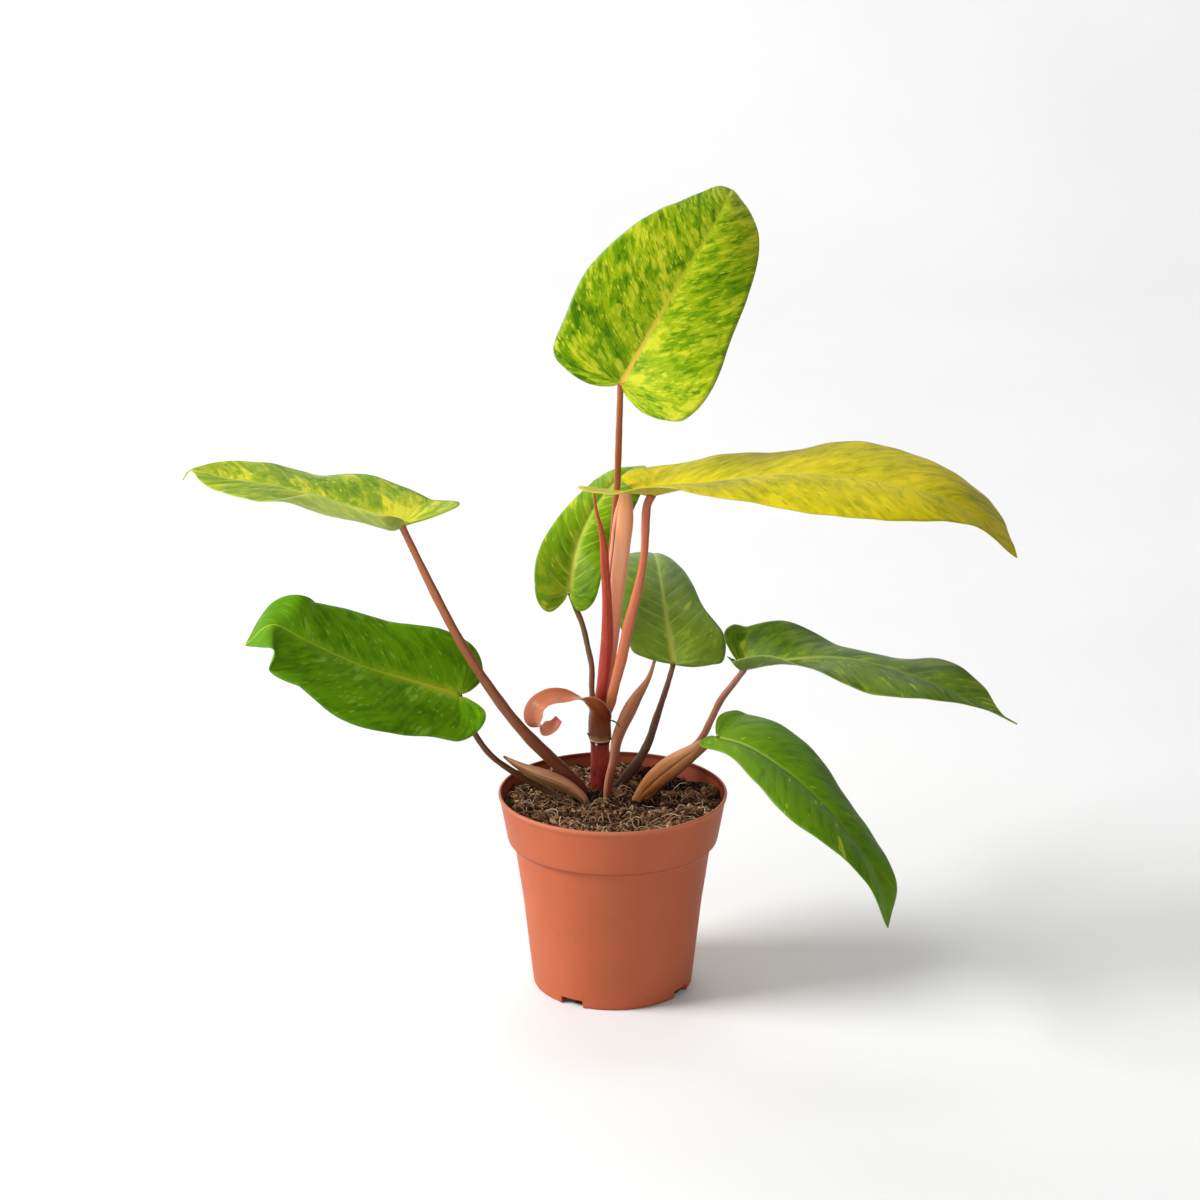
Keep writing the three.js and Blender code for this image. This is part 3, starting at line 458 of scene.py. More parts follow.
def at_stations(values, u):
    """A value known at a blade's stations: held behind the first, zero at the tip."""
    knots = np.array((-0.2, *STATIONS, 1.0))
    heights = np.array((values[0], *values, 0.0))
    slopes = np.zeros(len(knots))
    slopes[1:-1] = (heights[2:] - heights[:-2]) / (knots[2:] - knots[:-2])
    u = np.clip(u, knots[0], 1)
    i = np.clip(np.searchsorted(knots, u, side="right") - 1, 0, len(knots) - 2)
    span = knots[i + 1] - knots[i]
    t = (u - knots[i]) / span
    start = (2 * t**3 - 3 * t**2 + 1) * heights[i] + (t**3 - 2 * t**2 + t) * span * slopes[i]
    end = (3 * t**2 - 2 * t**3) * heights[i + 1] + (t**3 - t**2) * span * slopes[i + 1]
    return start + end


# Meshes

def make_piece(name, points, faces, finishes, attributes=None, face_finish=None,
               smooth_faces=True):
    """A mesh piece from points in millimetres, with values at its points for the finish to read."""
    mesh = bpy.data.meshes.new(name)
    mesh.from_pydata((np.asarray(points) * MM).tolist(), [], [tuple(face) for face in faces])
    for finish in finishes:
        mesh.materials.append(finish)
    for key, values in (attributes or {}).items():
        kind, field = ("FLOAT_VECTOR", "vector") if np.ndim(values) == 2 else ("FLOAT", "value")
        store = mesh.attributes.new(key, kind, "POINT")
        store.data.foreach_set(field, np.ravel(values).astype(np.float32))
    if face_finish is not None:
        mesh.polygons.foreach_set("material_index", np.asarray(face_finish, dtype=np.int32))
    mesh.polygons.foreach_set("use_smooth", [smooth_faces] * len(mesh.polygons))
    mesh.validate()
    mesh.update()
    piece = bpy.data.objects.new(name, mesh)
    bpy.context.scene.collection.objects.link(piece)
    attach(piece, BODY)
    return piece


def point_normals(points, faces):
    """Each point's normal, weighted by the area of the faces round it."""
    normals = np.zeros_like(points)
    for face in faces:
        for k in range(1, len(face) - 1):
            a, b, c = face[0], face[k], face[k + 1]
            area = np.cross(points[b] - points[a], points[c] - points[a])
            normals[[a, b, c]] += area
    return unit(normals)


def thicken(points, faces, above, below):
    """A closed solid round a sheet: its points twice, and its faces on both sides with a rim."""
    normals = point_normals(points, faces)
    solid = np.concatenate([points + normals * above[:, None], points - normals * below[:, None]])
    count = len(points)
    edges = {(face[k], face[(k + 1) % len(face)]) for face in faces for k in range(len(face))}
    rim = [(b, a, a + count, b + count) for a, b in sorted(edges) if (b, a) not in edges]
    under = [tuple(i + count for i in reversed(face)) for face in faces]
    return solid, [*faces, *under, *rim], [0] * len(faces) + [1] * (len(under) + len(rim))


def spread(shape, *columns):
    """Columns spread to one shape, as a row of values for each point."""
    rows = np.stack([np.broadcast_to(column, shape) for column in columns], -1)
    return rows.reshape(-1, len(columns))


def sheet_faces(rows, columns, offset=0):
    """The faces of a sheet whose points lie row by row, from the point numbered offset."""
    step = columns + 1
    starts = [offset + row * step + column for row in range(rows) for column in range(columns)]
    return [(a, a + 1, a + step + 1, a + step) for a in starts]


def turned_faces(rings, segments):
    """The faces of a turned form: a first point in the middle, its rings and a last point."""
    last = rings * segments + 1
    top = (rings - 1) * segments
    faces = []
    for k in range(segments):
        here, there = 1 + k, 1 + (k + 1) % segments
        faces.append((0, there, here))
        for base in range(0, top, segments):
            a, b = here + base, there + base
            faces.append((a, b, b + segments, a + segments))
        faces.append((here + top, there + top, last))
    return faces


def tube_faces(rings, sides):
    """The faces of a tube of rings with its two ends closed."""
    faces = []
    for i in range(rings - 1):
        for k in range(sides):
            a, b = i * sides + k, i * sides + (k + 1) % sides
            faces.append((a, a + sides, b + sides, b))
    faces.append(tuple(range(sides)))
    faces.append(tuple((rings - 1) * sides + k for k in reversed(range(sides))))
    return faces


# Finishes

class Value:
    """A node's output in a sum: each operator adds one Math node to the finish."""

    def __init__(self, finish, socket):
        self.finish = finish
        self.socket = socket

    def sum(self, operation, *parts):
        return self.finish.node("ShaderNodeMath", {"operation": operation}, dict(enumerate(parts)))

    def __add__(self, other):
        return self.sum("ADD", self, other)

    def __sub__(self, other):
        return self.sum("SUBTRACT", self, other)

    def __rsub__(self, other):
        return self.sum("SUBTRACT", other, self)

    def __mul__(self, other):
        return self.sum("MULTIPLY", self, other)

    def __truediv__(self, other):
        return self.sum("DIVIDE", self, other)

    def __pow__(self, other):
        return self.sum("POWER", self, other)

    def __abs__(self):
        return self.sum("ABSOLUTE", self)

    __radd__ = __add__
    __rmul__ = __mul__

    def low(self, other):
        return self.sum("MINIMUM", self, other)

    def high(self, other):
        return self.sum("MAXIMUM", self, other)

    def fraction(self):
        return self.sum("FRACT", self)

    def other(self, output):
        """Another output of the same node."""
        return Value(self.finish, self.socket.node.outputs[output])


class Finish:
    """A material on one Principled shader."""

    def __init__(self, name):
        self.material = bpy.data.materials.new(name)
        self.material.use_nodes = True
        self.tree = self.material.node_tree
        self.shader = self.tree.nodes["Principled BSDF"]

    def feed(self, socket, value):
        if isinstance(value, Value):
            self.tree.links.new(value.socket, socket)
        else:
            socket.default_value = value

    def node(self, kind, settings=None, sockets=None, output=0):
        """One node: its settings, then the values or links of its sockets, and the output used."""
        node = self.tree.nodes.new(kind)
        for key, value in (settings or {}).items():
            if key == "stops":
                ramp = node.color_ramp.elements
                while len(ramp) < len(value):
                    ramp.new(0.5)
                for element, (position, color) in zip(ramp, value):
                    element.position = position
                    element.color = color
            else:
                setattr(node, key, value)
        for key, value in (sockets or {}).items():
            self.feed(node.inputs[key], value)
        return Value(self, node.outputs[output])

    def read(self, name, output="Fac"):
        return self.node("ShaderNodeAttribute", {"attribute_name": name}, output=output)

    def parts(self, vector):
        return [self.node("ShaderNodeSeparateXYZ", sockets={0: vector}, output=k) for k in range(3)]

    def point(self, x, y, z):
        return self.node("ShaderNodeCombineXYZ", sockets={0: x, 1: y, 2: z})

    def here(self):
        """The point's own place on the object, in metres."""
        return self.node("ShaderNodeTexCoord", output="Object")

    def noise(self, place, scale, detail=3.0, roughness=0.5, distortion=0.0):
        sockets = {"Vector": place, "Scale": scale, "Detail": detail, "Roughness": roughness,
                   "Distortion": distortion}
        return self.node("ShaderNodeTexNoise", sockets=sockets)

    def grains(self, place, dimensions="3D"):
        settings = {"voronoi_dimensions": dimensions}
        return self.node("ShaderNodeTexVoronoi", settings, {"Vector": place, "Scale": 1.0})

    def step(self, value, start, end):
        """0 below start, 1 above end, and smooth between. start may be the larger."""
        sockets = {"Value": value, "From Min": start, "From Max": end}
        return self.node("ShaderNodeMapRange", {"interpolation_type": "SMOOTHSTEP"}, sockets)

    def blend(self, factor, first, second, kind="MIX"):
        """Two colours blended: first where factor is 0, second where it is 1."""
        settings = {"data_type": "RGBA", "blend_type": kind}
        return self.node("ShaderNodeMix", settings, {0: factor, 6: first, 7: second}, output=2)

    def ramp(self, value, *stops):
        return self.node("ShaderNodeValToRGB", {"stops": stops}, {0: value})

    def bump(self, height, distance, under=None):
        sockets = {"Height": height, "Distance": distance, "Strength": 1.0}
        if under is not None:
            sockets["Normal"] = under
        return self.node("ShaderNodeBump", sockets=sockets)

    def dress(self, **sockets):
        """Sets the shader's sockets, whose names are given with _ for a space."""
        for key, value in sockets.items():
            self.feed(self.shader.inputs[key.replace("_", " ")], value)
        return self.material


def blade_finish(name, paint, under):
    """A waxy blade, mottled from dark green to yellow along its side veins, with a pale midrib."""
    finish = Finish(name)
    dark, green, lime, yellow = paint["colors"]
    vein, reach, along = finish.parts(finish.read("place", "Vector"))
    across = finish.read("across")
    half = finish.step(across, -0.01, 0.01)
    out = abs(across)
    half_shift, seed_shift = 13.7, 2.3
    lane = vein + half * half_shift + paint["seed"] * seed_shift
    run = out * 0.1

    fine = finish.noise(finish.point(lane * 2.8, run * 2.2, 4.0), 1.0, 4.0, 0.62)
    medium = finish.noise(finish.point(lane * 1.3, run * 0.95, 9.0), 1.0, 4.0, 0.62, 0.4)
    broad = finish.noise(finish.point(lane * 0.35, run * 0.3, 2.0), 1.0, 2.0)
    base_glow = ((1 - finish.step(along + (fine - 0.5) * 0.5, 0.0, 0.24))
                 * (1 - finish.step(reach + (fine - 0.5) * 0.6, 0.1, 0.75)))
    rib_glow = finish.step(out, 9.0, 1.0)
    mottling = (fine - 0.5) * 0.9 + (medium - 0.5) * 2.1 + (broad - 0.5) * 1.1
    tone = (mottling * paint["contrast"] + half * paint["bias"] + base_glow * paint["glow"]
            + rib_glow * paint["rib_glow"] + paint["tone"])
    color = finish.ramp(tone, (0.14, dark), (0.32, green), (0.42, green), (0.54, lime),
                        (0.66, lime), (0.82, yellow))

    def flecks(lanes, runs, share, seed):
        """Small marks along the side veins, each of its own size, in a share of the cells."""
        place = finish.point(lane * lanes + (fine - 0.5) * 0.7 + seed, run * runs + seed, 0.0)
        cells = finish.grains(place, "2D")
        number = finish.parts(cells.other("Color"))[0]
        size = ((number - 1 + share) / share).high(0.0) ** 0.5 * 0.42
        return finish.step(size - cells, -0.04, 0.16)

    crowding = finish.step(broad, 0.35, 0.65) * 1.5 + 0.35
    dark_marks = flecks(2.7, 1.5, crowding * paint["dark_flecks"], 31.0)
    color = finish.blend(dark_marks * (1 - base_glow) * 0.6, color, dark)
    marks = flecks(1.6, 1.0, crowding * paint["flecks"], 8.0)
    specks = flecks(4.4, 2.9, crowding * paint["flecks"], 20.0)
    color = finish.blend(marks.high(specks) * (fine * 0.9 + 0.25), color, yellow)

    # Painted shade: the tip is darkened towards the dark green by tip_shade.
    color = finish.blend(finish.step(along, 0.74, 0.86) * paint.get("tip_shade", 0), color, dark)
    to_vein = abs((vein + 0.5).fraction() - 0.5)
    from_margin = 1 - finish.step(reach, 0.15, 0.85)
    vein_line = finish.step(to_vein, 0.11, 0.02) * from_margin * medium * 1.7
    color = finish.blend(vein_line * paint["veins"], color, paint["midrib"][1])
    rib_color = finish.blend(finish.step(along, 0.0, 0.5), *paint["midrib"])
    halo = finish.step(out, paint["halo"], 0.8) * (1 - along) * (medium * 0.8 + 0.1)
    color = finish.blend(halo, color, rib_color)
    rib_width = 1.3 - along * 0.95
    color = finish.blend(finish.step(out, rib_width, rib_width * 0.55) * 0.9, color, rib_color)
    color = finish.blend(finish.step(reach, 0.965, 0.995) * 0.45, color, paint["under"])

    threads = abs((vein * 5 + 0.5).fraction() - 0.5)
    grain = finish.noise(finish.here(), 900.0, 2.0)
    height = (finish.step(threads, 0.0, 0.5) * 0.3 + finish.step(to_vein, 0.0, 0.2) * 0.4
              + grain * 0.2)
    if under:
        color = finish.blend(0.42, color, paint["under"])
        ribs = finish.bump(1 - height, 0.00018)
        return finish.dress(Base_Color=color, Roughness=0.62 - medium * 0.1, Normal=ribs,
                            Specular_IOR_Level=0.2)
    sheen = finish.noise(finish.here(), 60.0, 3.0)
    return finish.dress(Base_Color=color, Roughness=0.34 + sheen * 0.2,
                        Normal=finish.bump(height, 0.0001), Specular_IOR_Level=paint["gloss"])


def stalk_finish(name, colors, gloss=0.3, dry=0.0, fold=None, turned=None):
    """A smooth stalk or sheath: its colours run from the leaf to the foot, with fine long streaks,
    and painted shade down the side turned from the light. fold is where an overlapping edge draws
    a dark line of painted shade, and turned another colour on one side, painted light on some
    sheaths and painted shade on another."""
    finish = Finish(name)
    side_x, side_y, along = finish.parts(finish.read("place", "Vector"))
    fibres = finish.noise(finish.point(side_x * 7, side_y * 7, along * 1.0), 1.0, 4.0, 0.62)
    wide = finish.noise(finish.point(side_x * 1.4, side_y * 1.4, along * 1.6), 1.0, 3.0)
    share = finish.read("share")
    stops = [(k / (len(colors) - 1), color) for k, color in enumerate(colors)]
    color = finish.ramp(share + (wide - 0.5) * 0.12, *stops)
    if turned:
        tint, start, end = turned
        # turned paints one side another colour: painted light on a lit side, painted shade on a
        # shaded one.
        color = finish.blend(finish.step(side_x + (wide - 0.5) * 0.3, start, end), color, tint)
    darker = finish.blend(1.0, color, (0.45, 0.36, 0.32, 1), "MULTIPLY")
    lighter = finish.blend(0.3, color, srgb(240, 188, 140))
    color = finish.blend(finish.step(fibres, 0.52, 0.34) * 0.2, color, darker)
    color = finish.blend(finish.step(wide, 0.5, 0.75) * 0.3, color, lighter)
    # Painted shade: the side turned away from the light is darkened.
    color = finish.blend(finish.step(side_x, -0.3, -1.0) * 0.5, color, darker)
    cells = finish.grains(finish.point(side_x * 5, side_y * 5, along * 9))
    specks = finish.step(cells, 0.12, 0.03)
    color = finish.blend(specks * 0.25, color, darker)
    # Painted shade: a dark line under the edge that laps over the other.
    if fold is not None:
        line = finish.step(abs(side_x - fold + 0.06), 0.1, 0.0) * finish.step(side_y, 0.0, 0.3)
        ends = finish.step(share, 0.04, 0.2) * finish.step(share, 0.85, 0.6)
        color = finish.blend(line * ends * 0.85, color, srgb(80, 38, 16))
        color = finish.blend(finish.step(abs(side_x), 0.9, 0.99) * 0.4, color, lighter)
    if dry:
        browned = finish.step(fibres * 0.5 + wide * 0.5, 0.6, 0.4)
        color = finish.blend(browned * dry, color, srgb(110, 64, 28))
        tip = finish.step(share, 0.05, 0.0)
        color = finish.blend(tip * 0.8, color, srgb(84, 46, 26))
    height = fibres * 0.7 + wide * 0.5
    return finish.dress(Base_Color=color, Roughness=0.38 + fibres * 0.2,
                        Normal=finish.bump(height, 0.00016), Specular_IOR_Level=gloss)


def peeled_finish():
    """The peeled sheath: a brown collar with painted shade in dark red down one side and painted
    light on the other, and a salmon ribbon with a painted pale sheen where it curls, redder inside.
    """
    finish = Finish("peeled_sheath_skin")
    side, _, along = finish.parts(finish.read("place", "Vector"))
    fibres = finish.noise(finish.point(side * 9, 0.0, along * 0.7), 1.0, 4.0, 0.6)
    wide = finish.noise(finish.point(side * 1.6, 3.0, along * 1.4), 1.0, 3.0)
    share = finish.read("share")
    # The whitish pink stop at 0.64 is a painted sheen where the ribbon curls over.
    color = finish.ramp(share + (wide - 0.5) * 0.02,
                        (0.0, srgb(150, 130, 84)), (0.025, srgb(116, 58, 30)),
                        (0.12, srgb(126, 58, 24)), (0.24, srgb(164, 88, 42)),
                        (0.36, srgb(206, 126, 70)), (0.5, srgb(212, 134, 86)),
                        (0.64, srgb(234, 172, 142)), (1.0, srgb(212, 112, 84)))
    collar = finish.step(share, 0.26, 0.14)
    # Painted shade: the collar's right side darker red. Painted light: its left side paler tan.
    color = finish.blend(collar * finish.step(side, 0.1, 0.75) * 0.85, color, srgb(112, 24, 16))
    color = finish.blend(collar * finish.step(side, -0.3, -0.9) * 0.45, color, srgb(150, 84, 50))
    color = finish.blend(collar * finish.step(wide, 0.46, 0.62) * 0.5, color, srgb(72, 38, 16))
    inside = finish.read("inside") * finish.step(share, 0.2, 0.4)
    color = finish.blend(inside * 0.6, color, srgb(204, 100, 60))
    darker = finish.blend(1.0, color, (0.5, 0.4, 0.36, 1), "MULTIPLY")
    color = finish.blend(finish.step(fibres, 0.5, 0.3) * 0.35, color, darker)
    color = finish.blend(finish.step(abs(side), 0.8, 0.9) * 0.35, color, srgb(236, 188, 158))
    return finish.dress(Base_Color=color, Roughness=0.28 + fibres * 0.15,
                        Normal=finish.bump(fibres, 0.0001), Specular_IOR_Level=0.32)


def pot_finish():
    """Matte moulded plastic in terracotta orange, a little dusty and scuffed, with a dark line of
    painted shade and dirt in the step under the band, a painted highlight along the lip, and a
    darker inside of painted shade and soil stain."""
    finish = Finish("terracotta_plastic")
    place = finish.here()
    clouds = finish.noise(place, 22.0, 4.0, 0.55)
    grain = finish.noise(place, 1500.0, 2.0, 0.6)
    color = finish.ramp(clouds, (0.3, srgb(173, 87, 52)), (0.7, srgb(183, 93, 58)))
    dust = finish.noise(place, 130.0, 4.0, 0.7)
    color = finish.blend(finish.step(dust, 0.62, 0.8) * 0.25, color, srgb(212, 146, 118))
    squeezed = {"Vector": place, "Scale": (90.0, 90.0, 700.0)}
    scuffs = finish.noise(finish.node("ShaderNodeMapping", sockets=squeezed), 1.0, 3.0, 0.6)
    color = finish.blend(finish.step(scuffs, 0.66, 0.78) * 0.18, color, srgb(150, 72, 48))
    x, y, z = finish.parts(place)
    from_axis = (x * x + y * y) ** 0.5
    slope = (RIM_RADIUS - BAND_BOTTOM_RADIUS) / (POT_HEIGHT - BAND_BOTTOM)
    wall = (z - BAND_BOTTOM * MM) * slope + BAND_BOTTOM_RADIUS * MM
    above_shoulder = finish.step(z, (BAND_BOTTOM + 2) * MM, (BAND_BOTTOM + 4) * MM)
    inside = finish.step(wall - from_axis, 0.0009, 0.0014) * above_shoulder
    # seam is painted shade with some dirt: a dark line in the step under the band.
    seam = finish.step(abs(z - (BAND_BOTTOM - 0.8) * MM), 0.0013, 0.0005)
    color = finish.blend(seam * 0.5, color, srgb(126, 56, 36))
    # lip is a painted highlight: a paler band round the top of the rim.
    lip = finish.step(z, (POT_HEIGHT - 2.4) * MM, (POT_HEIGHT - 1.2) * MM)
    color = finish.blend(lip * 0.35, color, srgb(212, 136, 106))
    # Painted shade with soil stain: the inside wall above the shoulder is darker.
    color = finish.blend(inside, color, srgb(112, 42, 27))
    return finish.dress(Base_Color=color, Roughness=0.46 + clouds * 0.16,
                        Normal=finish.bump(grain, 0.00006), Specular_IOR_Level=0.25)


def soil_finish(name):
    """Peat and coir: tan, brown and near-black grains, each with its own tone, which carries
    painted shade in the gaps and hollows.
    """
    finish = Finish(name)
    fine = finish.noise(finish.here(), 620.0, 5.0, 0.7)
    tone = fine * 0.4 + finish.read("tone") * 0.6
    color = finish.ramp(tone, (0.26, srgb(17, 9, 7)), (0.4, srgb(70, 42, 29)),
                        (0.52, srgb(136, 96, 66)), (0.66, srgb(194, 152, 112)),
                        (0.86, srgb(234, 206, 170)))
    rough_bump = finish.bump(fine + finish.noise(finish.here(), 1800.0, 3.0) * 0.5, 0.0007)
    return finish.dress(Base_Color=color, Roughness=0.95, Normal=rough_bump, Specular_IOR_Level=0.15)


def fibre_finish():
    """Dry coir and fine pale roots, each strand with its own tone; a tuft's tone carries the
    painted shade of the ground under it.
    """
    finish = Finish("coir_and_roots")
    tone = finish.read("tone") * 0.8 + finish.noise(finish.here(), 500.0, 3.0) * 0.2
    color = finish.ramp(tone, (0.12, srgb(44, 26, 17)), (0.38, srgb(116, 80, 54)),
                        (0.64, srgb(172, 134, 98)), (0.92, srgb(232, 212, 184)))
    grain = finish.noise(finish.here(), 1500.0)
    return finish.dress(Base_Color=color, Roughness=0.8, Normal=finish.bump(grain, 0.0002),
                        Specular_IOR_Level=0.25)


def stem_finish():
    """The dark red stem: fine upright streaks, and a tan ring of scar tissue with a dark edge and
    one pale dot under it."""
    finish = Finish("stem_skin")
    side_x, side_y, along = finish.parts(finish.read("place", "Vector"))
    fibres = finish.noise(finish.point(side_x * 3, side_y * 3, along * 0.7), 1.0, 4.0, 0.6)
    blotches = finish.noise(finish.here(), 240.0, 3.0, 0.6)
    red = finish.ramp(fibres * 0.6 + blotches * 0.4 + side_x * 0.12, (0.3, srgb(100, 19, 12)),
                      (0.55, srgb(152, 46, 34)), (0.75, srgb(174, 76, 60)))
    height_mm = finish.read("height")
    under_ring = finish.step(height_mm, NODE_HEIGHT - 9, NODE_HEIGHT - 1)
    color = finish.blend(under_ring * 0.6, red, srgb(80, 12, 8))
    wander = (blotches - 0.5) * 0.8
    ring_edge = finish.step(abs(height_mm + wander - (NODE_HEIGHT - 1.6)), 1.4, 1.0)
    color = finish.blend(ring_edge * 0.9, color, srgb(62, 26, 16))
    ring = finish.step(abs(height_mm + wander - (NODE_HEIGHT - 0.8)), 0.85, 0.5)
    color = finish.blend(ring * 0.95, color, srgb(214, 170, 140))
    x, y, z = finish.parts(finish.here())
    scar_reach = ((x + 0.0087) ** 2 + (z - (NODE_HEIGHT - 2.6) * MM) ** 2) ** 0.5
    scar = finish.step(scar_reach, 0.0008, 0.0005) * finish.step(y, 0.014, 0.012)
    color = finish.blend(scar, color, srgb(240, 226, 206))
    return finish.dress(Base_Color=color, Roughness=0.4 + fibres * 0.2,
                        Normal=finish.bump(fibres, 0.0002), Specular_IOR_Level=0.35)


# Blades

def half_margin(half, length, drip):
    """Points along one half's margin: distance across, and distance along the midrib."""
    first, last = half["width"][0], half["width"][4]
    lobe = half["lobe"]
    body = length - drip
    outline = LOBE_OUTLINE if lobe > 0 else SHOULDER_OUTLINE
    points = [(0, 0), *((across * first, along * lobe) for across, along in outline)]
    points += [(width, station * body) for width, station in zip(half["width"], STATIONS)]
    if drip:
        points += [(0.3 * last, 0.965 * body), (0.9, body), (0.5, length - 0.5 * drip), (0, length)]
    else:
        points += [(0.35 * last, 0.965 * length), (0, length)]
    return Line([(across, along, 0) for across, along in points], 2400)


def margin_rows(half, length, drip):
    """Each row of one half: where it starts on the midrib, its margin point and its vein number."""
    margin = half_margin(half, length, drip)
    points = margin.at(np.linspace(0, margin.length, 4000))[:, :2]
    reach = points[:, 1] - VEIN_SWEEP * points[:, 0]
    turn = len(points) - 1
    while turn > 1 and reach[turn - 1] >= 0:
        turn -= 1
    lobe = points[np.round(np.linspace(0, turn, LOBE_ROWS + 1)).astype(int)]
    starts = np.linspace(0, length, BLADE_ROWS + 1)[1:]
    rising = np.maximum.accumulate(reach[turn:])
    rising += np.arange(len(rising)) * 1e-9
    body = np.stack([np.interp(starts, rising, points[turn:, k]) for k in range(2)], -1)
    body[-1] = (0, length)
    lobe_length = margin.length * turn / (len(points) - 1)
    fan = -np.linspace(lobe_length, 0, LOBE_ROWS + 1) * 0.75
    return (np.concatenate([np.zeros(LOBE_ROWS + 1), starts]), np.concatenate([lobe, body]),
            np.concatenate([fan, starts]) / VEIN_SPACING)


def blade_half(leaf, side):
    """One half's points, row by row from midrib to margin, and its values for the finish."""
    half = leaf["right" if side > 0 else "left"]
    spine = Line(leaf["spine"])
    length = spine.length
    start, edge, vein = margin_rows(half, length, leaf["drip"])
    x = np.linspace(0, 1, BLADE_COLUMNS + 1)
    across = edge[:, :1] * x
    along = start[:, None] + (edge[:, 1:] - start[:, None]) * x
    u = along / length

    tangent = spine.heading(np.clip(along, 0, length))
    normal = smooth(leaf["face"], np.clip(u, 0, 1))
    normal = unit(normal - tangent * np.sum(normal * tangent, -1, keepdims=True))
    sideways = np.cross(tangent, normal)
    width = np.maximum(at_stations(half["width"], u), 1)
    lift = at_stations(half["lift"], u)
    back = np.clip(-along / max(half["lobe"], 0.001), 0, 1)
    flatness = np.sqrt(1 - np.clip(lift / width, -0.95, 0.95) ** 2)
    bulge = at_stations(half.get("bulge", PLAIN_BULGE), u) * np.sin(np.pi * x)
    shown = np.maximum(x, 0.001)
    rise = (lift * x**1.4 * np.minimum(1, across / (width * shown))
            + half["lobe_lift"] * back**1.3
            + bulge * np.minimum(1, across / (half["width"][0] * shown)))
    wave = np.sin(vein[:, None] * 1.9 + side) * np.sin(vein[:, None] * 0.83 + 2) * 0.3 * x**3
    rise += wave * np.clip(across / 12, 0, 1)
    points = (spine.at(np.clip(along, 0, length)) + tangent * np.minimum(along, 0)[..., None]
              + sideways * (side * across * flatness)[..., None] + normal * rise[..., None])
    lean = VEIN_LEAN * np.clip(start[:, None] / (0.5 * length), 0, 1)
    bent = (lean * across + VEIN_ARCH * x**2) / VEIN_SPACING
    veins = vein[:, None] - bent + (0.37 if side > 0 else 0)
    places = spread(u.shape, veins, x, np.clip(u, 0, 1))
    return points.reshape(-1, 3), places, (side * across).ravel()


def blade_sheet(leaf):
    """Both halves joined at the midrib, with the points that fall together made one."""
    points, places, across, faces = [], [], [], []
    for side in (-1, 1):
        half_faces = sheet_faces(LOBE_ROWS + BLADE_ROWS, BLADE_COLUMNS, sum(map(len, points)))
        faces += half_faces if side > 0 else [face[::-1] for face in half_faces]
        half_points, half_places, half_across = blade_half(leaf, side)
        points.append(half_points)
        places.append(half_places)
        across.append(half_across)
    points = np.concatenate(points)
    _, first, same = np.unique(np.round(points, 3), axis=0, return_index=True, return_inverse=True)
    joined = []
    for face in faces:
        corners = [int(same.ravel()[i]) for i in face]
        corners = [c for k, c in enumerate(corners) if c != corners[k - 1]]
        if len(set(corners)) == len(corners) > 2:
            joined.append(tuple(corners))
    return points[first], joined, np.concatenate(places)[first], np.concatenate(across)[first]


def make_blade(name, leaf, paint):
    points, faces, places, across = blade_sheet(leaf)
    vein, reach, along = places.T
    out = np.abs(across)
    to_vein = np.abs((vein + 0.5) % 1 - 0.5)
    fade = np.clip(out / 6, 0, 1) * np.clip((1 - reach) / 0.25, 0, 1)
    taper = 1 - 0.75 * along
    quilting = QUILTING * (np.clip(to_vein / 0.3, 0, 1) ** 0.8 - 0.5) * fade * taper
    groove = -MIDRIB_GROOVE * np.exp(-((out / 1.2) ** 2)) * taper
    keel = MIDRIB_KEEL * np.exp(-((out / 1.3) ** 2)) * (1 - 0.85 * along)
    half_thickness = HALF_THICKNESS - EDGE_THINNING * np.clip((reach - 0.9) / 0.1, 0, 1)
    solid, all_faces, sides = thicken(points, faces, half_thickness + quilting + groove,
                                      half_thickness - quilting * 0.8 + keel)
    finishes = [blade_finish(f"{name}_leaf_upper", paint, False),
                blade_finish(f"{name}_leaf_under", paint, True)]
    attributes = {"place": np.concatenate([places, places]),
                  "across": np.concatenate([across, across])}
    piece = make_piece(f"{name}_blade", solid, all_faces, finishes, attributes, sides)
    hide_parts(f"blade_{name}")


# Stalks and sheaths

def rings_along(line, distances, face):
    """At each distance, the middle and the two ways across: the broad way and the thin way."""
    heading = line.heading(distances)
    broad = unit(np.cross(heading, np.asarray(face, float)))
    return line.at(distances), broad, np.cross(broad, heading)


def bar_piece(name, path, radius, finish, outline, face=(0, -1, 0.001), sides=24):
    """A tapering bar along a path. outline gives its section at angle t and share s of the path."""
    line = Line(path)
    count = max(24, int(line.length / BAR_STEP))
    distances = np.linspace(0, line.length, count + 1)
    share = distances / line.length
    middle, broad, thin = rings_along(line, distances, face)
    radii = smooth(radius, share)
    angle = np.linspace(0, 2 * np.pi, sides, endpoint=False)
    wide, deep = outline(angle[None, :], share[:, None])
    points = (middle[:, None] + broad[:, None] * (radii[:, None] * wide)[..., None]
              + thin[:, None] * (radii[:, None] * deep)[..., None])
    place = spread(wide.shape, np.cos(angle), np.sin(angle), distances[:, None] * 0.06)
    attributes = {"place": place, "share": np.repeat(share, sides)}
    return make_piece(name, points.reshape(-1, 3), tube_faces(count + 1, sides), [finish],
                      attributes)


def grooved(t, s):
    """A round stalk with a shallow channel along its upper side."""
    dent = 1 - 0.13 * np.exp(-(((t - np.pi / 2 + np.pi) % (2 * np.pi) - np.pi) / 0.5) ** 2)
    swell = 1 + 0.22 * np.exp(-((s / 0.03) ** 2)) + 0.03 * np.sin(s * 37) + 0.02 * np.sin(s * 91)
    return np.cos(t) * dent * swell, np.sin(t) * dent * swell


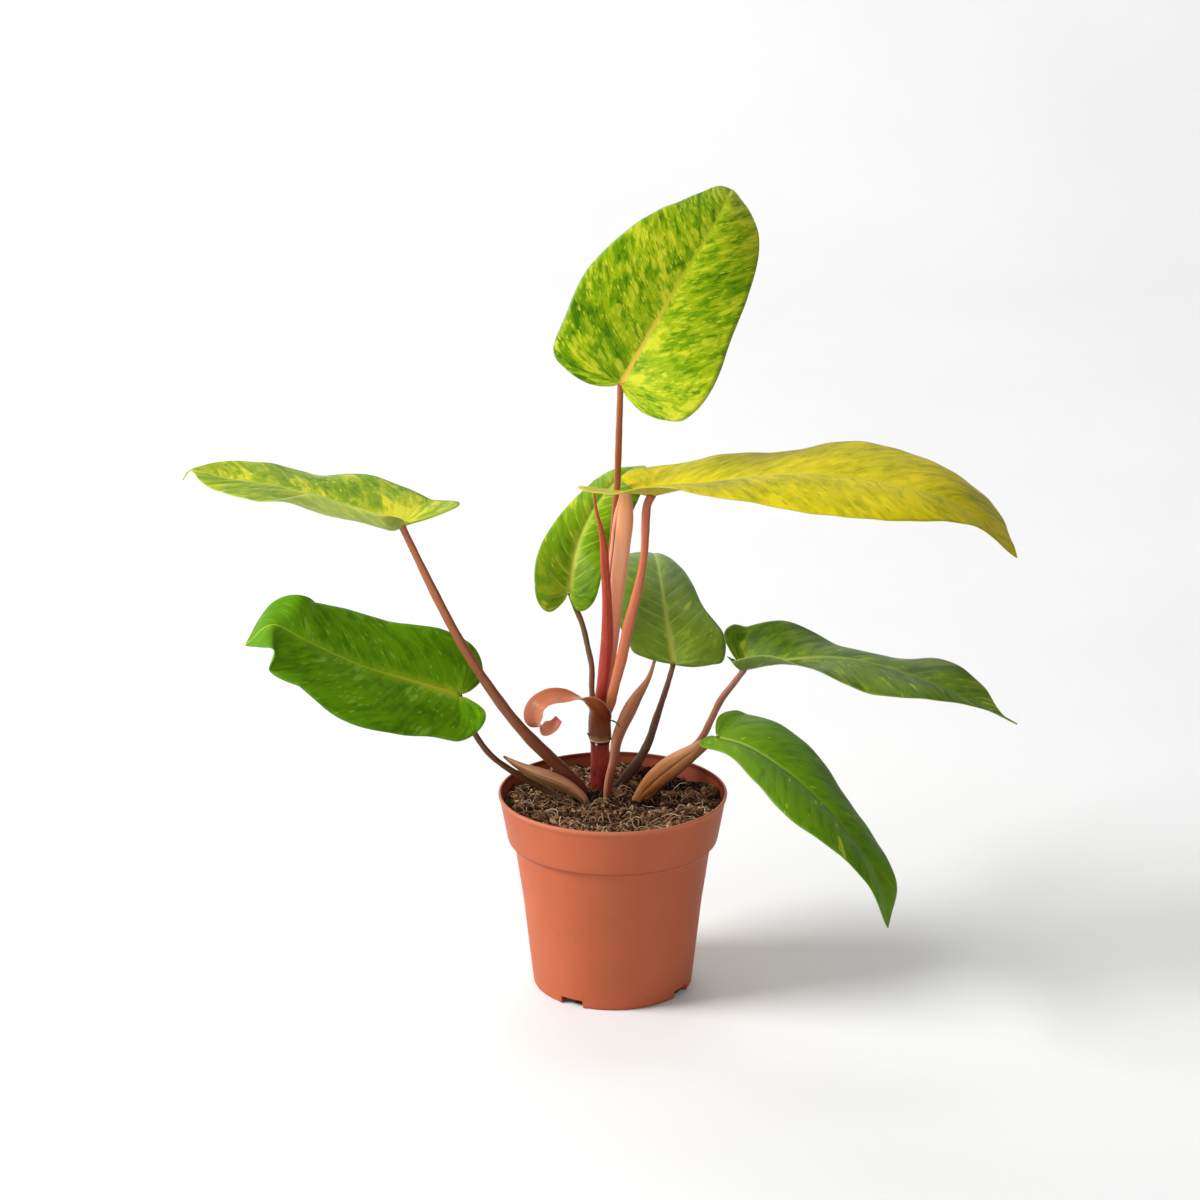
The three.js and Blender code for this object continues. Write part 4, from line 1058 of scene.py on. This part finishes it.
def make_stalk(name, stalk):
    top = BLADES[name]["spine"][0]
    path = [(top[0], top[1], top[2] - 0.5), *stalk["path"]]
    radius = (stalk["radius"][0] * 0.8, *stalk["radius"])
    finish = stalk_finish(f"{name}_stalk_skin", stalk["colors"])
    piece = bar_piece(f"{name}_stalk", path, radius, finish, grooved)
    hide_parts(f"stalk_{name}")


def blade_section(flat, fold):
    """A sheath's section: a flat oval drawn out to thin edges. One edge laps over the other where
    fold lies across its front, and its back is hollow."""
    def outline(t, s):
        across, deep = np.cos(t), np.sin(t)
        thin = np.sign(deep) * np.abs(deep) ** 1.2 * flat
        lap = np.clip((across - fold) / 0.1, 0, 1) * np.exp(-np.clip(across - fold, 0, 2) / 0.5)
        dip = np.exp(-(((across - fold + 0.08) / 0.09) ** 2))
        open_part = np.clip(s / 0.15, 0, 1) * np.clip((0.85 - s) / 0.2, 0, 1)
        thin = thin + (0.16 * lap - 0.2 * dip) * flat * np.clip(deep, 0, 1) * open_part
        hollow = 0.35 * flat * (1 - across**2) * np.clip(-deep, 0, 1)
        return across * (1 + 0.02 * np.sin(s * 23)), thin + hollow
    return outline


def rolled_section(flat):
    """The unopened leaf: a round rolled blade whose outer edge shows as a step winding round it."""
    def outline(t, s):
        seam = 0.9 + 1.3 * s
        turn = ((t - seam) % (2 * np.pi)) / (2 * np.pi)
        radius = 0.93 + 0.13 * np.clip(turn, 0, 1) ** 2
        return radius * np.cos(t), radius * np.sin(t) * flat
    return outline


def make_sheath(name, sheath):
    fold, flat = sheath.get("fold"), sheath["flat"]
    dry = 0.22 if sheath["slot"] == "dry_sheath" else 0.0
    finish = stalk_finish(f"{name}_skin", sheath["colors"], 0.35, dry, fold, sheath.get("turned"))
    outline = rolled_section(flat) if fold is None else blade_section(flat, fold)
    piece = bar_piece(name, sheath["path"], sheath["radius"], finish, outline,
                      sheath["face"], 64)
    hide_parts(name)


def make_peeled_sheath():
    steps, columns = 150, 18
    t = np.linspace(0, 1, steps + 1)
    middle = smooth(PEELED_SHEATH["path"], t)
    heading = unit(np.gradient(middle, axis=0))
    wide = smooth(PEELED_SHEATH["across"], t)
    wide = unit(wide - heading * np.sum(wide * heading, -1, keepdims=True))
    outward = np.cross(wide, heading)
    roll = smooth(PEELED_SHEATH["bend"], t)
    half = smooth(PEELED_SHEATH["half_width"], t)
    radius = half * (1 + 0.012 * np.sin(t * 31)) / roll
    c = np.linspace(-1, 1, columns + 1)
    angle = roll[:, None] * c
    points = (middle[:, None] + wide[:, None] * (radius[:, None] * np.sin(angle))[..., None]
              - outward[:, None] * (radius[:, None] * (1 - np.cos(angle)))[..., None])
    crease = 0.07 * np.sin(c * 9)[None, :] * np.clip(t * 4, 0.2, 1)[:, None]
    points += outward[:, None] * crease[..., None]
    half_thickness = spread(crease.shape, 0.5 - 0.3 * np.abs(c) ** 4).ravel()
    solid, all_faces, _ = thicken(points.reshape(-1, 3), sheet_faces(steps, columns),
                                  half_thickness, half_thickness)
    share = spread(crease.shape, t[:, None]).ravel()
    place = spread(crease.shape, c * 0.9, 0, t[:, None] * 6)
    attributes = {"place": np.concatenate([place, place]), "share": np.concatenate([share, share]),
                  "inside": np.concatenate([share * 0, share * 0 + 1])}
    piece = make_piece("peeled_sheath", solid, all_faces, [peeled_finish()],
                       attributes)
    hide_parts("peeled_sheath")


def make_stem():
    heights, radii = np.transpose([
        (STEM_BOTTOM, 4.4), (SOIL_LEVEL, STEM_RADIUS), (112, STEM_RADIUS),
        (NODE_HEIGHT - 4, STEM_RADIUS),
        (NODE_HEIGHT - 1.6, 5.5), (NODE_HEIGHT - 0.3, 5.5), (NODE_HEIGHT + 0.8, 5),
        (STEM_TOP - 4, 4.9), (STEM_TOP - 0.6, 4.7), (STEM_TOP, 3.6)])
    fine = np.unique(np.concatenate([np.linspace(STEM_BOTTOM, STEM_TOP, 90), heights]))
    sides = 40
    angle = np.linspace(0, 2 * np.pi, sides, endpoint=False)
    ribs = 1 + 0.02 * np.sin(angle * 7) + 0.015 * np.sin(angle * 13 + 1)
    radius = np.interp(fine, heights, radii)[:, None] * ribs
    points = spread(radius.shape, STEM_X + radius * np.cos(angle), STEM_Y + radius * np.sin(angle),
                    fine[:, None])
    place = spread(radius.shape, np.cos(angle), np.sin(angle), fine[:, None] * 0.1)
    attributes = {"place": place, "height": points[:, 2]}
    faces = [face[::-1] for face in tube_faces(len(fine), sides)]
    piece = make_piece("stem", points, faces, [stem_finish()], attributes)
    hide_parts("stem")


# Pot

def arc(cx, cz, radius, start, end, count):
    angles = np.radians(np.linspace(start, end, count + 1))
    return [(cx + radius * math.cos(a), cz + radius * math.sin(a)) for a in angles]


def block(angle, width, bottom, top, start, end):
    """A radial block on the pot's floor, as a scratch object for cutting or joining."""
    mesh = bpy.data.meshes.new("block")
    shape = bmesh.new()
    bmesh.ops.create_cube(shape, size=1)
    size = Matrix.Diagonal(((end - start) * MM, width * MM, (top - bottom) * MM, 1))
    place = Matrix.Translation(((start + end) / 2 * MM, 0, (bottom + top) / 2 * MM))
    around = Matrix.Rotation(math.radians(angle - 90), 4, "Z")
    bmesh.ops.transform(shape, matrix=around @ place @ size, verts=shape.verts)
    shape.to_mesh(mesh)
    shape.free()
    return bpy.data.objects.new("block", mesh)


def drain(angle):
    """A round cutter for the drain hole in a channel's roof."""
    mesh = bpy.data.meshes.new("drain")
    shape = bmesh.new()
    bmesh.ops.create_cone(shape, cap_ends=True, segments=40, radius1=DRAIN_RADIUS * MM,
                          radius2=DRAIN_RADIUS * MM, depth=12 * MM)
    around = math.radians(angle - 90)
    reach = (CHANNEL_INNER_RADIUS + BASE_RADIUS) / 2 * MM
    place = Matrix.Translation((reach * math.cos(around), reach * math.sin(around),
                                (CHANNEL_HEIGHT + 1) * MM))
    bmesh.ops.transform(shape, matrix=place, verts=shape.verts)
    shape.to_mesh(mesh)
    shape.free()
    return bpy.data.objects.new("drain", mesh)


def carve(piece, tool, operation):
    """Joins the tool to the piece or cuts it out of it, and drops the tool."""
    bpy.context.scene.collection.objects.link(tool)
    change = piece.modifiers.new("carve", "BOOLEAN")
    change.operation = operation
    change.object = tool
    change.solver = "EXACT"
    evaluated = piece.evaluated_get(bpy.context.evaluated_depsgraph_get())
    mesh = bpy.data.meshes.new_from_object(evaluated)
    piece.modifiers.clear()
    piece.data = mesh
    bpy.data.objects.remove(tool)


def make_pot():
    lip = WALL / 2 + 0.15
    inner_top = RIM_RADIUS - 2 * lip
    profile = [(0, 0), *arc(BASE_RADIUS - FOOT_ROUNDING, FOOT_ROUNDING, FOOT_ROUNDING, -90, 0, 6),
               *WALL_POINTS,
               (SHOULDER_RADIUS - 0.6, SHOULDER_Z - 3.4), (SHOULDER_RADIUS - 0.3, SHOULDER_Z - 0.6),
               (SHOULDER_RADIUS, SHOULDER_Z), (SHOULDER_RADIUS + 0.7, SHOULDER_Z + 0.5),
               (BAND_BOTTOM_RADIUS - 0.9, BAND_BOTTOM - 1.1),
               (BAND_BOTTOM_RADIUS - 0.3, BAND_BOTTOM - 0.5),
               (BAND_BOTTOM_RADIUS, BAND_BOTTOM + 0.4),
               (BAND_BOTTOM_RADIUS + 0.35, BAND_BOTTOM + 1.8),
               (RIM_RADIUS - 1.15, POT_HEIGHT - 4.8), (RIM_RADIUS - 0.95, POT_HEIGHT - 3.1),
               (RIM_RADIUS - 0.3, POT_HEIGHT - 2.3),
               *arc(RIM_RADIUS - lip, POT_HEIGHT - lip, lip, 0, 180, 12),
               (inner_top - 0.1, POT_HEIGHT - 3), (BAND_BOTTOM_RADIUS - WALL, BAND_BOTTOM + 0.6),
               (SHOULDER_RADIUS - WALL, SHOULDER_Z), (BASE_RADIUS - WALL - 0.2, FLOOR), (0, FLOOR)]
    angles = np.linspace(0, 2 * np.pi, POT_SEGMENTS, endpoint=False)
    points = [(0, 0, 0)]
    for radius, z in profile[1:-1]:
        points += [(radius * math.cos(a), radius * math.sin(a), z) for a in angles]
    points.append((0, 0, FLOOR))
    faces = turned_faces(len(profile) - 2, POT_SEGMENTS)
    piece = make_piece("pot", points, faces, [pot_finish()])
    for angle in CHANNEL_ANGLES:
        roof = block(angle, CHANNEL_WIDTH + 2 * WALL, 0.2, CHANNEL_HEIGHT + FLOOR,
                     CHANNEL_INNER_RADIUS - WALL, BASE_RADIUS - 1)
        carve(piece, roof, "UNION")
    for angle in CHANNEL_ANGLES:
        channel = block(angle, CHANNEL_WIDTH, -1, CHANNEL_HEIGHT,
                        CHANNEL_INNER_RADIUS, BASE_RADIUS + 4)
        carve(piece, channel, "DIFFERENCE")
        carve(piece, drain(angle), "DIFFERENCE")
    for polygon in piece.data.polygons:
        polygon.use_smooth = True
    piece.data.set_sharp_from_angle(angle=math.radians(35))
    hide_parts("pot")


# Soil

def soil_height(x, y):
    """The soil's surface: a low mound round the crown, two hollows, and lumps."""
    def bump(cx, cy, size, height):
        return height * np.exp(-((x - cx) ** 2 + (y - cy) ** 2) / (2 * size * size))
    lumps = (0.9 * np.sin(0.31 * x + 0.9) * np.sin(0.27 * y + 0.4)
             + 0.6 * np.sin(0.19 * x - 0.34 * y) + 0.4 * np.sin(0.53 * x + 0.21 * y + 2))
    return SOIL_LEVEL + bump(*CROWN, 16, 1.5) + bump(33, 26, 9, -5) + bump(24, -6, 5, -3) + lumps


def hollow_depth(x, y):
    """How far a place lies down in one of the dark hollows, 0 to 1."""
    return min(1.0, sum(math.exp(-((x - cx) ** 2 + (y - cy) ** 2) / (2 * size * size))
                        for cx, cy, size in HOLLOWS))


def clump_height(x, y):
    """The clumps of fibre that stand over the soil's surface, and the gaps between them."""
    broad = noise.noise(Vector((x * 0.11, y * 0.11, 4))) * 2.2
    small = noise.fractal(Vector((x * 0.3, y * 0.3, 2)), 1.0, 2.0, 4) * 1.1
    return broad + small - 0.5 - 2.2 * hollow_depth(x, y)


def ground(x, y):
    return float(soil_height(x, y)) + clump_height(x, y)


def ground_tone(x, y):
    """Paler on top of the clumps, and near-black in the gaps and hollows: painted shade with damp."""
    patch = noise.noise(Vector((x * 0.09, y * 0.09, 11))) * 0.12
    return min(max(0.4 + 0.1 * clump_height(x, y) + patch - 0.35 * hollow_depth(x, y), 0.0), 0.8)


def soil_radius():
    """The radius of the bed, just clear of the pot's wall."""
    slope = (RIM_RADIUS - BAND_BOTTOM_RADIUS) / (POT_HEIGHT - BAND_BOTTOM)
    return BAND_BOTTOM_RADIUS - WALL + (SOIL_LEVEL - 2 - BAND_BOTTOM) * slope - 0.6


def make_soil():
    """The bed: its uneven surface, and a skirt down the inside of the pot to the floor."""
    edge = soil_radius()
    skirt = [(BAND_BOTTOM_RADIUS - WALL - 0.3, BAND_BOTTOM + 1),
             (SHOULDER_RADIUS - WALL - 0.6, SHOULDER_Z), (BASE_RADIUS - WALL - 0.5, FLOOR + 0.3)]
    angles = [2 * math.pi * k / SOIL_SEGMENTS for k in range(SOIL_SEGMENTS)]
    points = [(0, 0, ground(0, 0))]
    for ring in range(1, SOIL_RINGS + 1):
        radius = edge * ring / SOIL_RINGS
        for angle in angles:
            x, y = radius * math.cos(angle), radius * math.sin(angle)
            points.append((x, y, ground(x, y)))
    for radius, z in skirt:
        points += [(radius * math.cos(angle), radius * math.sin(angle), z) for angle in angles]
    points.append((0, 0, FLOOR + 0.3))
    faces = [(face[0], *face[:0:-1])
             for face in turned_faces(SOIL_RINGS + len(skirt), SOIL_SEGMENTS)]
    # The bed's tone carries painted shade, near-black in the gaps and hollows.
    tones = np.array([ground_tone(x, y) * 0.8 for x, y, z in points])
    piece = make_piece("soil_bed", points, faces, [soil_finish("peat_bed")],
                       {"tone": tones})
    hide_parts("soil")


BARS = (*STALKS.values(), *SHEATHS.values())
FEET = [bar["path"][-1][:2] for bar in BARS if bar["path"][-1][2] < SOIL_LEVEL]
FEET.append((STEM_X, STEM_Y))


def open_ground(spread):
    """A random place on the soil that is clear of every foot."""
    while True:
        radius = soil_radius() * math.sqrt(random.random()) * spread
        angle = random.uniform(0, 2 * math.pi)
        x, y = radius * math.cos(angle), radius * math.sin(angle)
        if all((x - fx) ** 2 + (y - fy) ** 2 > FOOT_CLEARANCE**2 for fx, fy in FEET):
            return x, y


def make_crumbs(name, count, sizes, detail):
    """Loose grains of peat, each an uneven lump half sunk into the bed."""
    seed = bmesh.new()
    bmesh.ops.create_icosphere(seed, subdivisions=detail, radius=1)
    unit_points = [v.co.copy() for v in seed.verts]
    unit_faces = [[v.index for v in f.verts] for f in seed.faces]
    seed.free()
    points, faces, tones = [], [], []
    for number in range(count):
        x, y = open_ground(0.975)
        size = sizes[0] + (sizes[1] - sizes[0]) * random.random() ** 2.2
        angle = random.uniform(0, 6.28)
        axis = Vector((random.random(), random.random(), 1)).normalized()
        turn = Matrix.Rotation(angle, 3, axis)
        stretch = Vector((random.uniform(0.8, 1.5), random.uniform(0.6, 1.0),
                          random.uniform(0.5, 0.9)))
        # A crumb takes the painted shade of the ground it lies on.
        tone = min(max(ground_tone(x, y) + random.gauss(0.06, 0.14), 0.0), 0.95)
        base = len(points)
        z = ground(x, y) + size * random.uniform(-0.2, 0.5)
        for co in unit_points:
            lump = 1 + 0.35 * noise.noise(co * 1.7 + Vector((number, 0, 0)))
            spot = turn @ (co * stretch) * (size * lump)
            points.append((x + spot.x, y + spot.y, z + spot.z))
            tones.append(tone)
        faces += [tuple(base + i for i in face) for face in unit_faces]
    make_piece(name, points, faces, [soil_finish(f"{name}_grain")],
               {"tone": np.array(tones)}, smooth_faces=False)


def strand(points, faces, tones, path, thickness, tone, sides=3):
    """Adds one thin tapering strand along a short smooth path."""
    line = Line(path, 60)
    count = 9
    distances = np.linspace(0, line.length, count)
    middle, broad, thin = rings_along(line, distances, (0.3, 0.2, 1))
    base = len(points)
    for i in range(count):
        radius = thickness * (1 - 0.6 * abs(2 * i / (count - 1) - 1) ** 2)
        for k in range(sides):
            angle = 2 * math.pi * k / sides
            out = broad[i] * math.cos(angle) + thin[i] * math.sin(angle)
            points.append(tuple(middle[i] + out * radius))
            tones.append(tone)
    faces += [tuple(base + i for i in face) for face in tube_faces(count, sides)]


def lying_strand(points, faces, tones, x, y, length, thickness, tone, heading):
    """A strand that lies on the soil in a lazy curve and hops over what is under it."""
    curl = random.uniform(-1.3, 1.3)
    hop = random.uniform(0.3, 2.0)
    path = []
    for k in range(5):
        s = k / 4 - 0.5
        px = x + length * s * math.cos(heading + curl * s)
        py = y + length * s * math.sin(heading + curl * s)
        scale = min(1, (soil_radius() - 0.8) / max(math.hypot(px, py), 1))
        px, py = px * scale, py * scale
        path.append((px, py, ground(px, py) + hop * math.cos(s * 3) + random.uniform(-0.3, 0.6)))
    strand(points, faces, tones, path, thickness, tone)


def make_strands():
    """Coir fibres that lie on the soil, in tufts and alone, and fine pale roots that arch up."""
    points, faces, tones = [], [], []
    for _ in range(120):
        x, y = open_ground(0.95)
        heading = random.uniform(0, 2 * math.pi)
        # A tuft takes the painted shade of the ground it lies on.
        tuft_tone = ground_tone(x, y) + random.uniform(-0.05, 0.25)
        for _ in range(random.randint(3, 9)):
            lying_strand(points, faces, tones, x + random.gauss(0, 2.4), y + random.gauss(0, 2.4),
                         random.uniform(3, 10), random.uniform(0.18, 0.48),
                         tuft_tone + random.uniform(-0.15, 0.2), heading + random.gauss(0, 0.8))
    for _ in range(170):
        x, y = open_ground(0.95)
        lying_strand(points, faces, tones, x, y, random.uniform(4, 17),
                     random.uniform(0.14, 0.34), random.uniform(0.3, 0.95),
                     random.uniform(0, 2 * math.pi))
    for _ in range(60):
        x, y = open_ground(0.85)
        heading = random.uniform(0, 2 * math.pi)
        length = random.uniform(5, 15)
        rise = random.uniform(2, 6)
        path = []
        for k in range(6):
            s = k / 5
            bend = heading + 1.1 * s * random.uniform(0.5, 1.2)
            px, py = x + length * s * math.cos(bend), y + length * s * math.sin(bend)
            scale = min(1, (soil_radius() - 1) / max(math.hypot(px, py), 1))
            px, py = px * scale, py * scale
            path.append((px, py, ground(px, py) - 0.6 + rise * math.sin(math.pi * s)))
        strand(points, faces, tones, path, random.uniform(0.13, 0.25), random.uniform(0.75, 1.0))
    make_piece("coir_and_root_strands", points, faces, [fibre_finish()],
               {"tone": np.array(tones)})


def make_rootlets():
    """Short dark aerial roots at the joint of the stem."""
    points, faces, tones = [], [], []
    for path in ROOTLETS:
        strand(points, faces, tones, path, ROOTLET_RADIUS, 0.0, 8)
    finish = Finish("dark_rootlet_skin")
    bark = finish.noise(finish.here(), 900.0, 3.0)
    color = finish.ramp(bark, (0.35, srgb(52, 22, 14)), (0.7, srgb(96, 52, 34)))
    skin = finish.dress(Base_Color=color, Roughness=0.7, Normal=finish.bump(bark, 0.0003))
    make_piece("aerial_rootlets", points, faces, [skin])


# Stage

def make_stage():
    """A pale floor that sweeps up into the backdrop."""
    floor = bpy.data.meshes.new("floor")
    flat_end, bend = 1.6, 0.9
    rows = [(-3, 0), (flat_end, 0),
            *[(flat_end + bend * math.sin(a), bend - bend * math.cos(a))
              for a in np.linspace(0.1, math.pi / 2, 14)], (flat_end + bend, 4)]
    points = [(x, y, z) for y, z in rows for x in (-4, 4)]
    faces = [(2 * i, 2 * i + 1, 2 * i + 3, 2 * i + 2) for i in range(len(rows) - 1)]
    floor.from_pydata(points, [], faces)
    finish = Finish("pale_floor")
    tone = finish.noise(finish.here(), 3.0, 2.0)
    color = finish.ramp(tone, (0.3, (0.84, 0.84, 0.84, 1)), (0.7, (0.87, 0.87, 0.87, 1)))
    floor.materials.append(finish.dress(Base_Color=color, Roughness=0.9))
    floor.polygons.foreach_set("use_smooth", [True] * len(floor.polygons))
    sweep = bpy.data.objects.new("floor", floor)
    bpy.context.scene.collection.objects.link(sweep)


def soft_light(name, place, size, power, aim=(0, 0, 0.2)):
    light = bpy.data.lights.new(name, "AREA")
    light.shape = "DISK"
    light.size = size
    light.energy = power
    lamp = bpy.data.objects.new(name, light)
    lamp.location = place
    lamp.rotation_euler = (Vector(aim) - Vector(place)).to_track_quat("-Z", "Y").to_euler()
    bpy.context.scene.collection.objects.link(lamp)


def make_light():
    """A large soft light from the left, a weak one in front, one on the backdrop and a dim sky."""
    bpy.context.scene.view_settings.view_transform = "Standard"
    soft_light("left_softbox", (-2.15, -0.4, 1.5), 1.4, 90)
    soft_light("front_softbox", (0.3, -2.4, 1.5), 1.8, 12)
    soft_light("backdrop_light", (0, 1.5, 2.6), 1.6, 22, (0, 2.6, 0.4))
    world = bpy.data.worlds.new("studio")
    world.use_nodes = True
    sky = world.node_tree.nodes["Background"].inputs
    sky["Color"].default_value = (1, 1, 1, 1)
    sky["Strength"].default_value = 0.27
    bpy.context.scene.world = world


def make_camera():
    camera = bpy.data.cameras.new("camera")
    camera.lens = CAMERA_LENS
    camera.sensor_width = CAMERA_SENSOR
    camera.clip_end = 20
    holder = bpy.data.objects.new("camera", camera)
    angle = math.radians(CAMERA_HEIGHT_ANGLE)
    away = Vector((0, -math.cos(angle), math.sin(angle)))
    holder.location = Vector(CAMERA_AIM) + away * CAMERA_DISTANCE
    holder.rotation_euler = (-away).to_track_quat("-Z", "Y").to_euler()
    bpy.context.scene.collection.objects.link(holder)
    bpy.context.scene.camera = holder


make_camera()
make_light()
make_stage()
make_pot()
make_soil()
make_crumbs("small_crumbs", 4200, (0.4, 1.2), 1)
make_crumbs("large_crumbs", 200, (1.2, 3.0), 2)
make_strands()
make_stem()
make_rootlets()
make_peeled_sheath()
for stalk_name, stalk in STALKS.items():
    make_stalk(stalk_name, stalk)
for sheath_name, sheath in SHEATHS.items():
    make_sheath(sheath_name, sheath)
for blade_name, blade in BLADES.items():
    make_blade(blade_name, blade, PAINTS[blade_name])
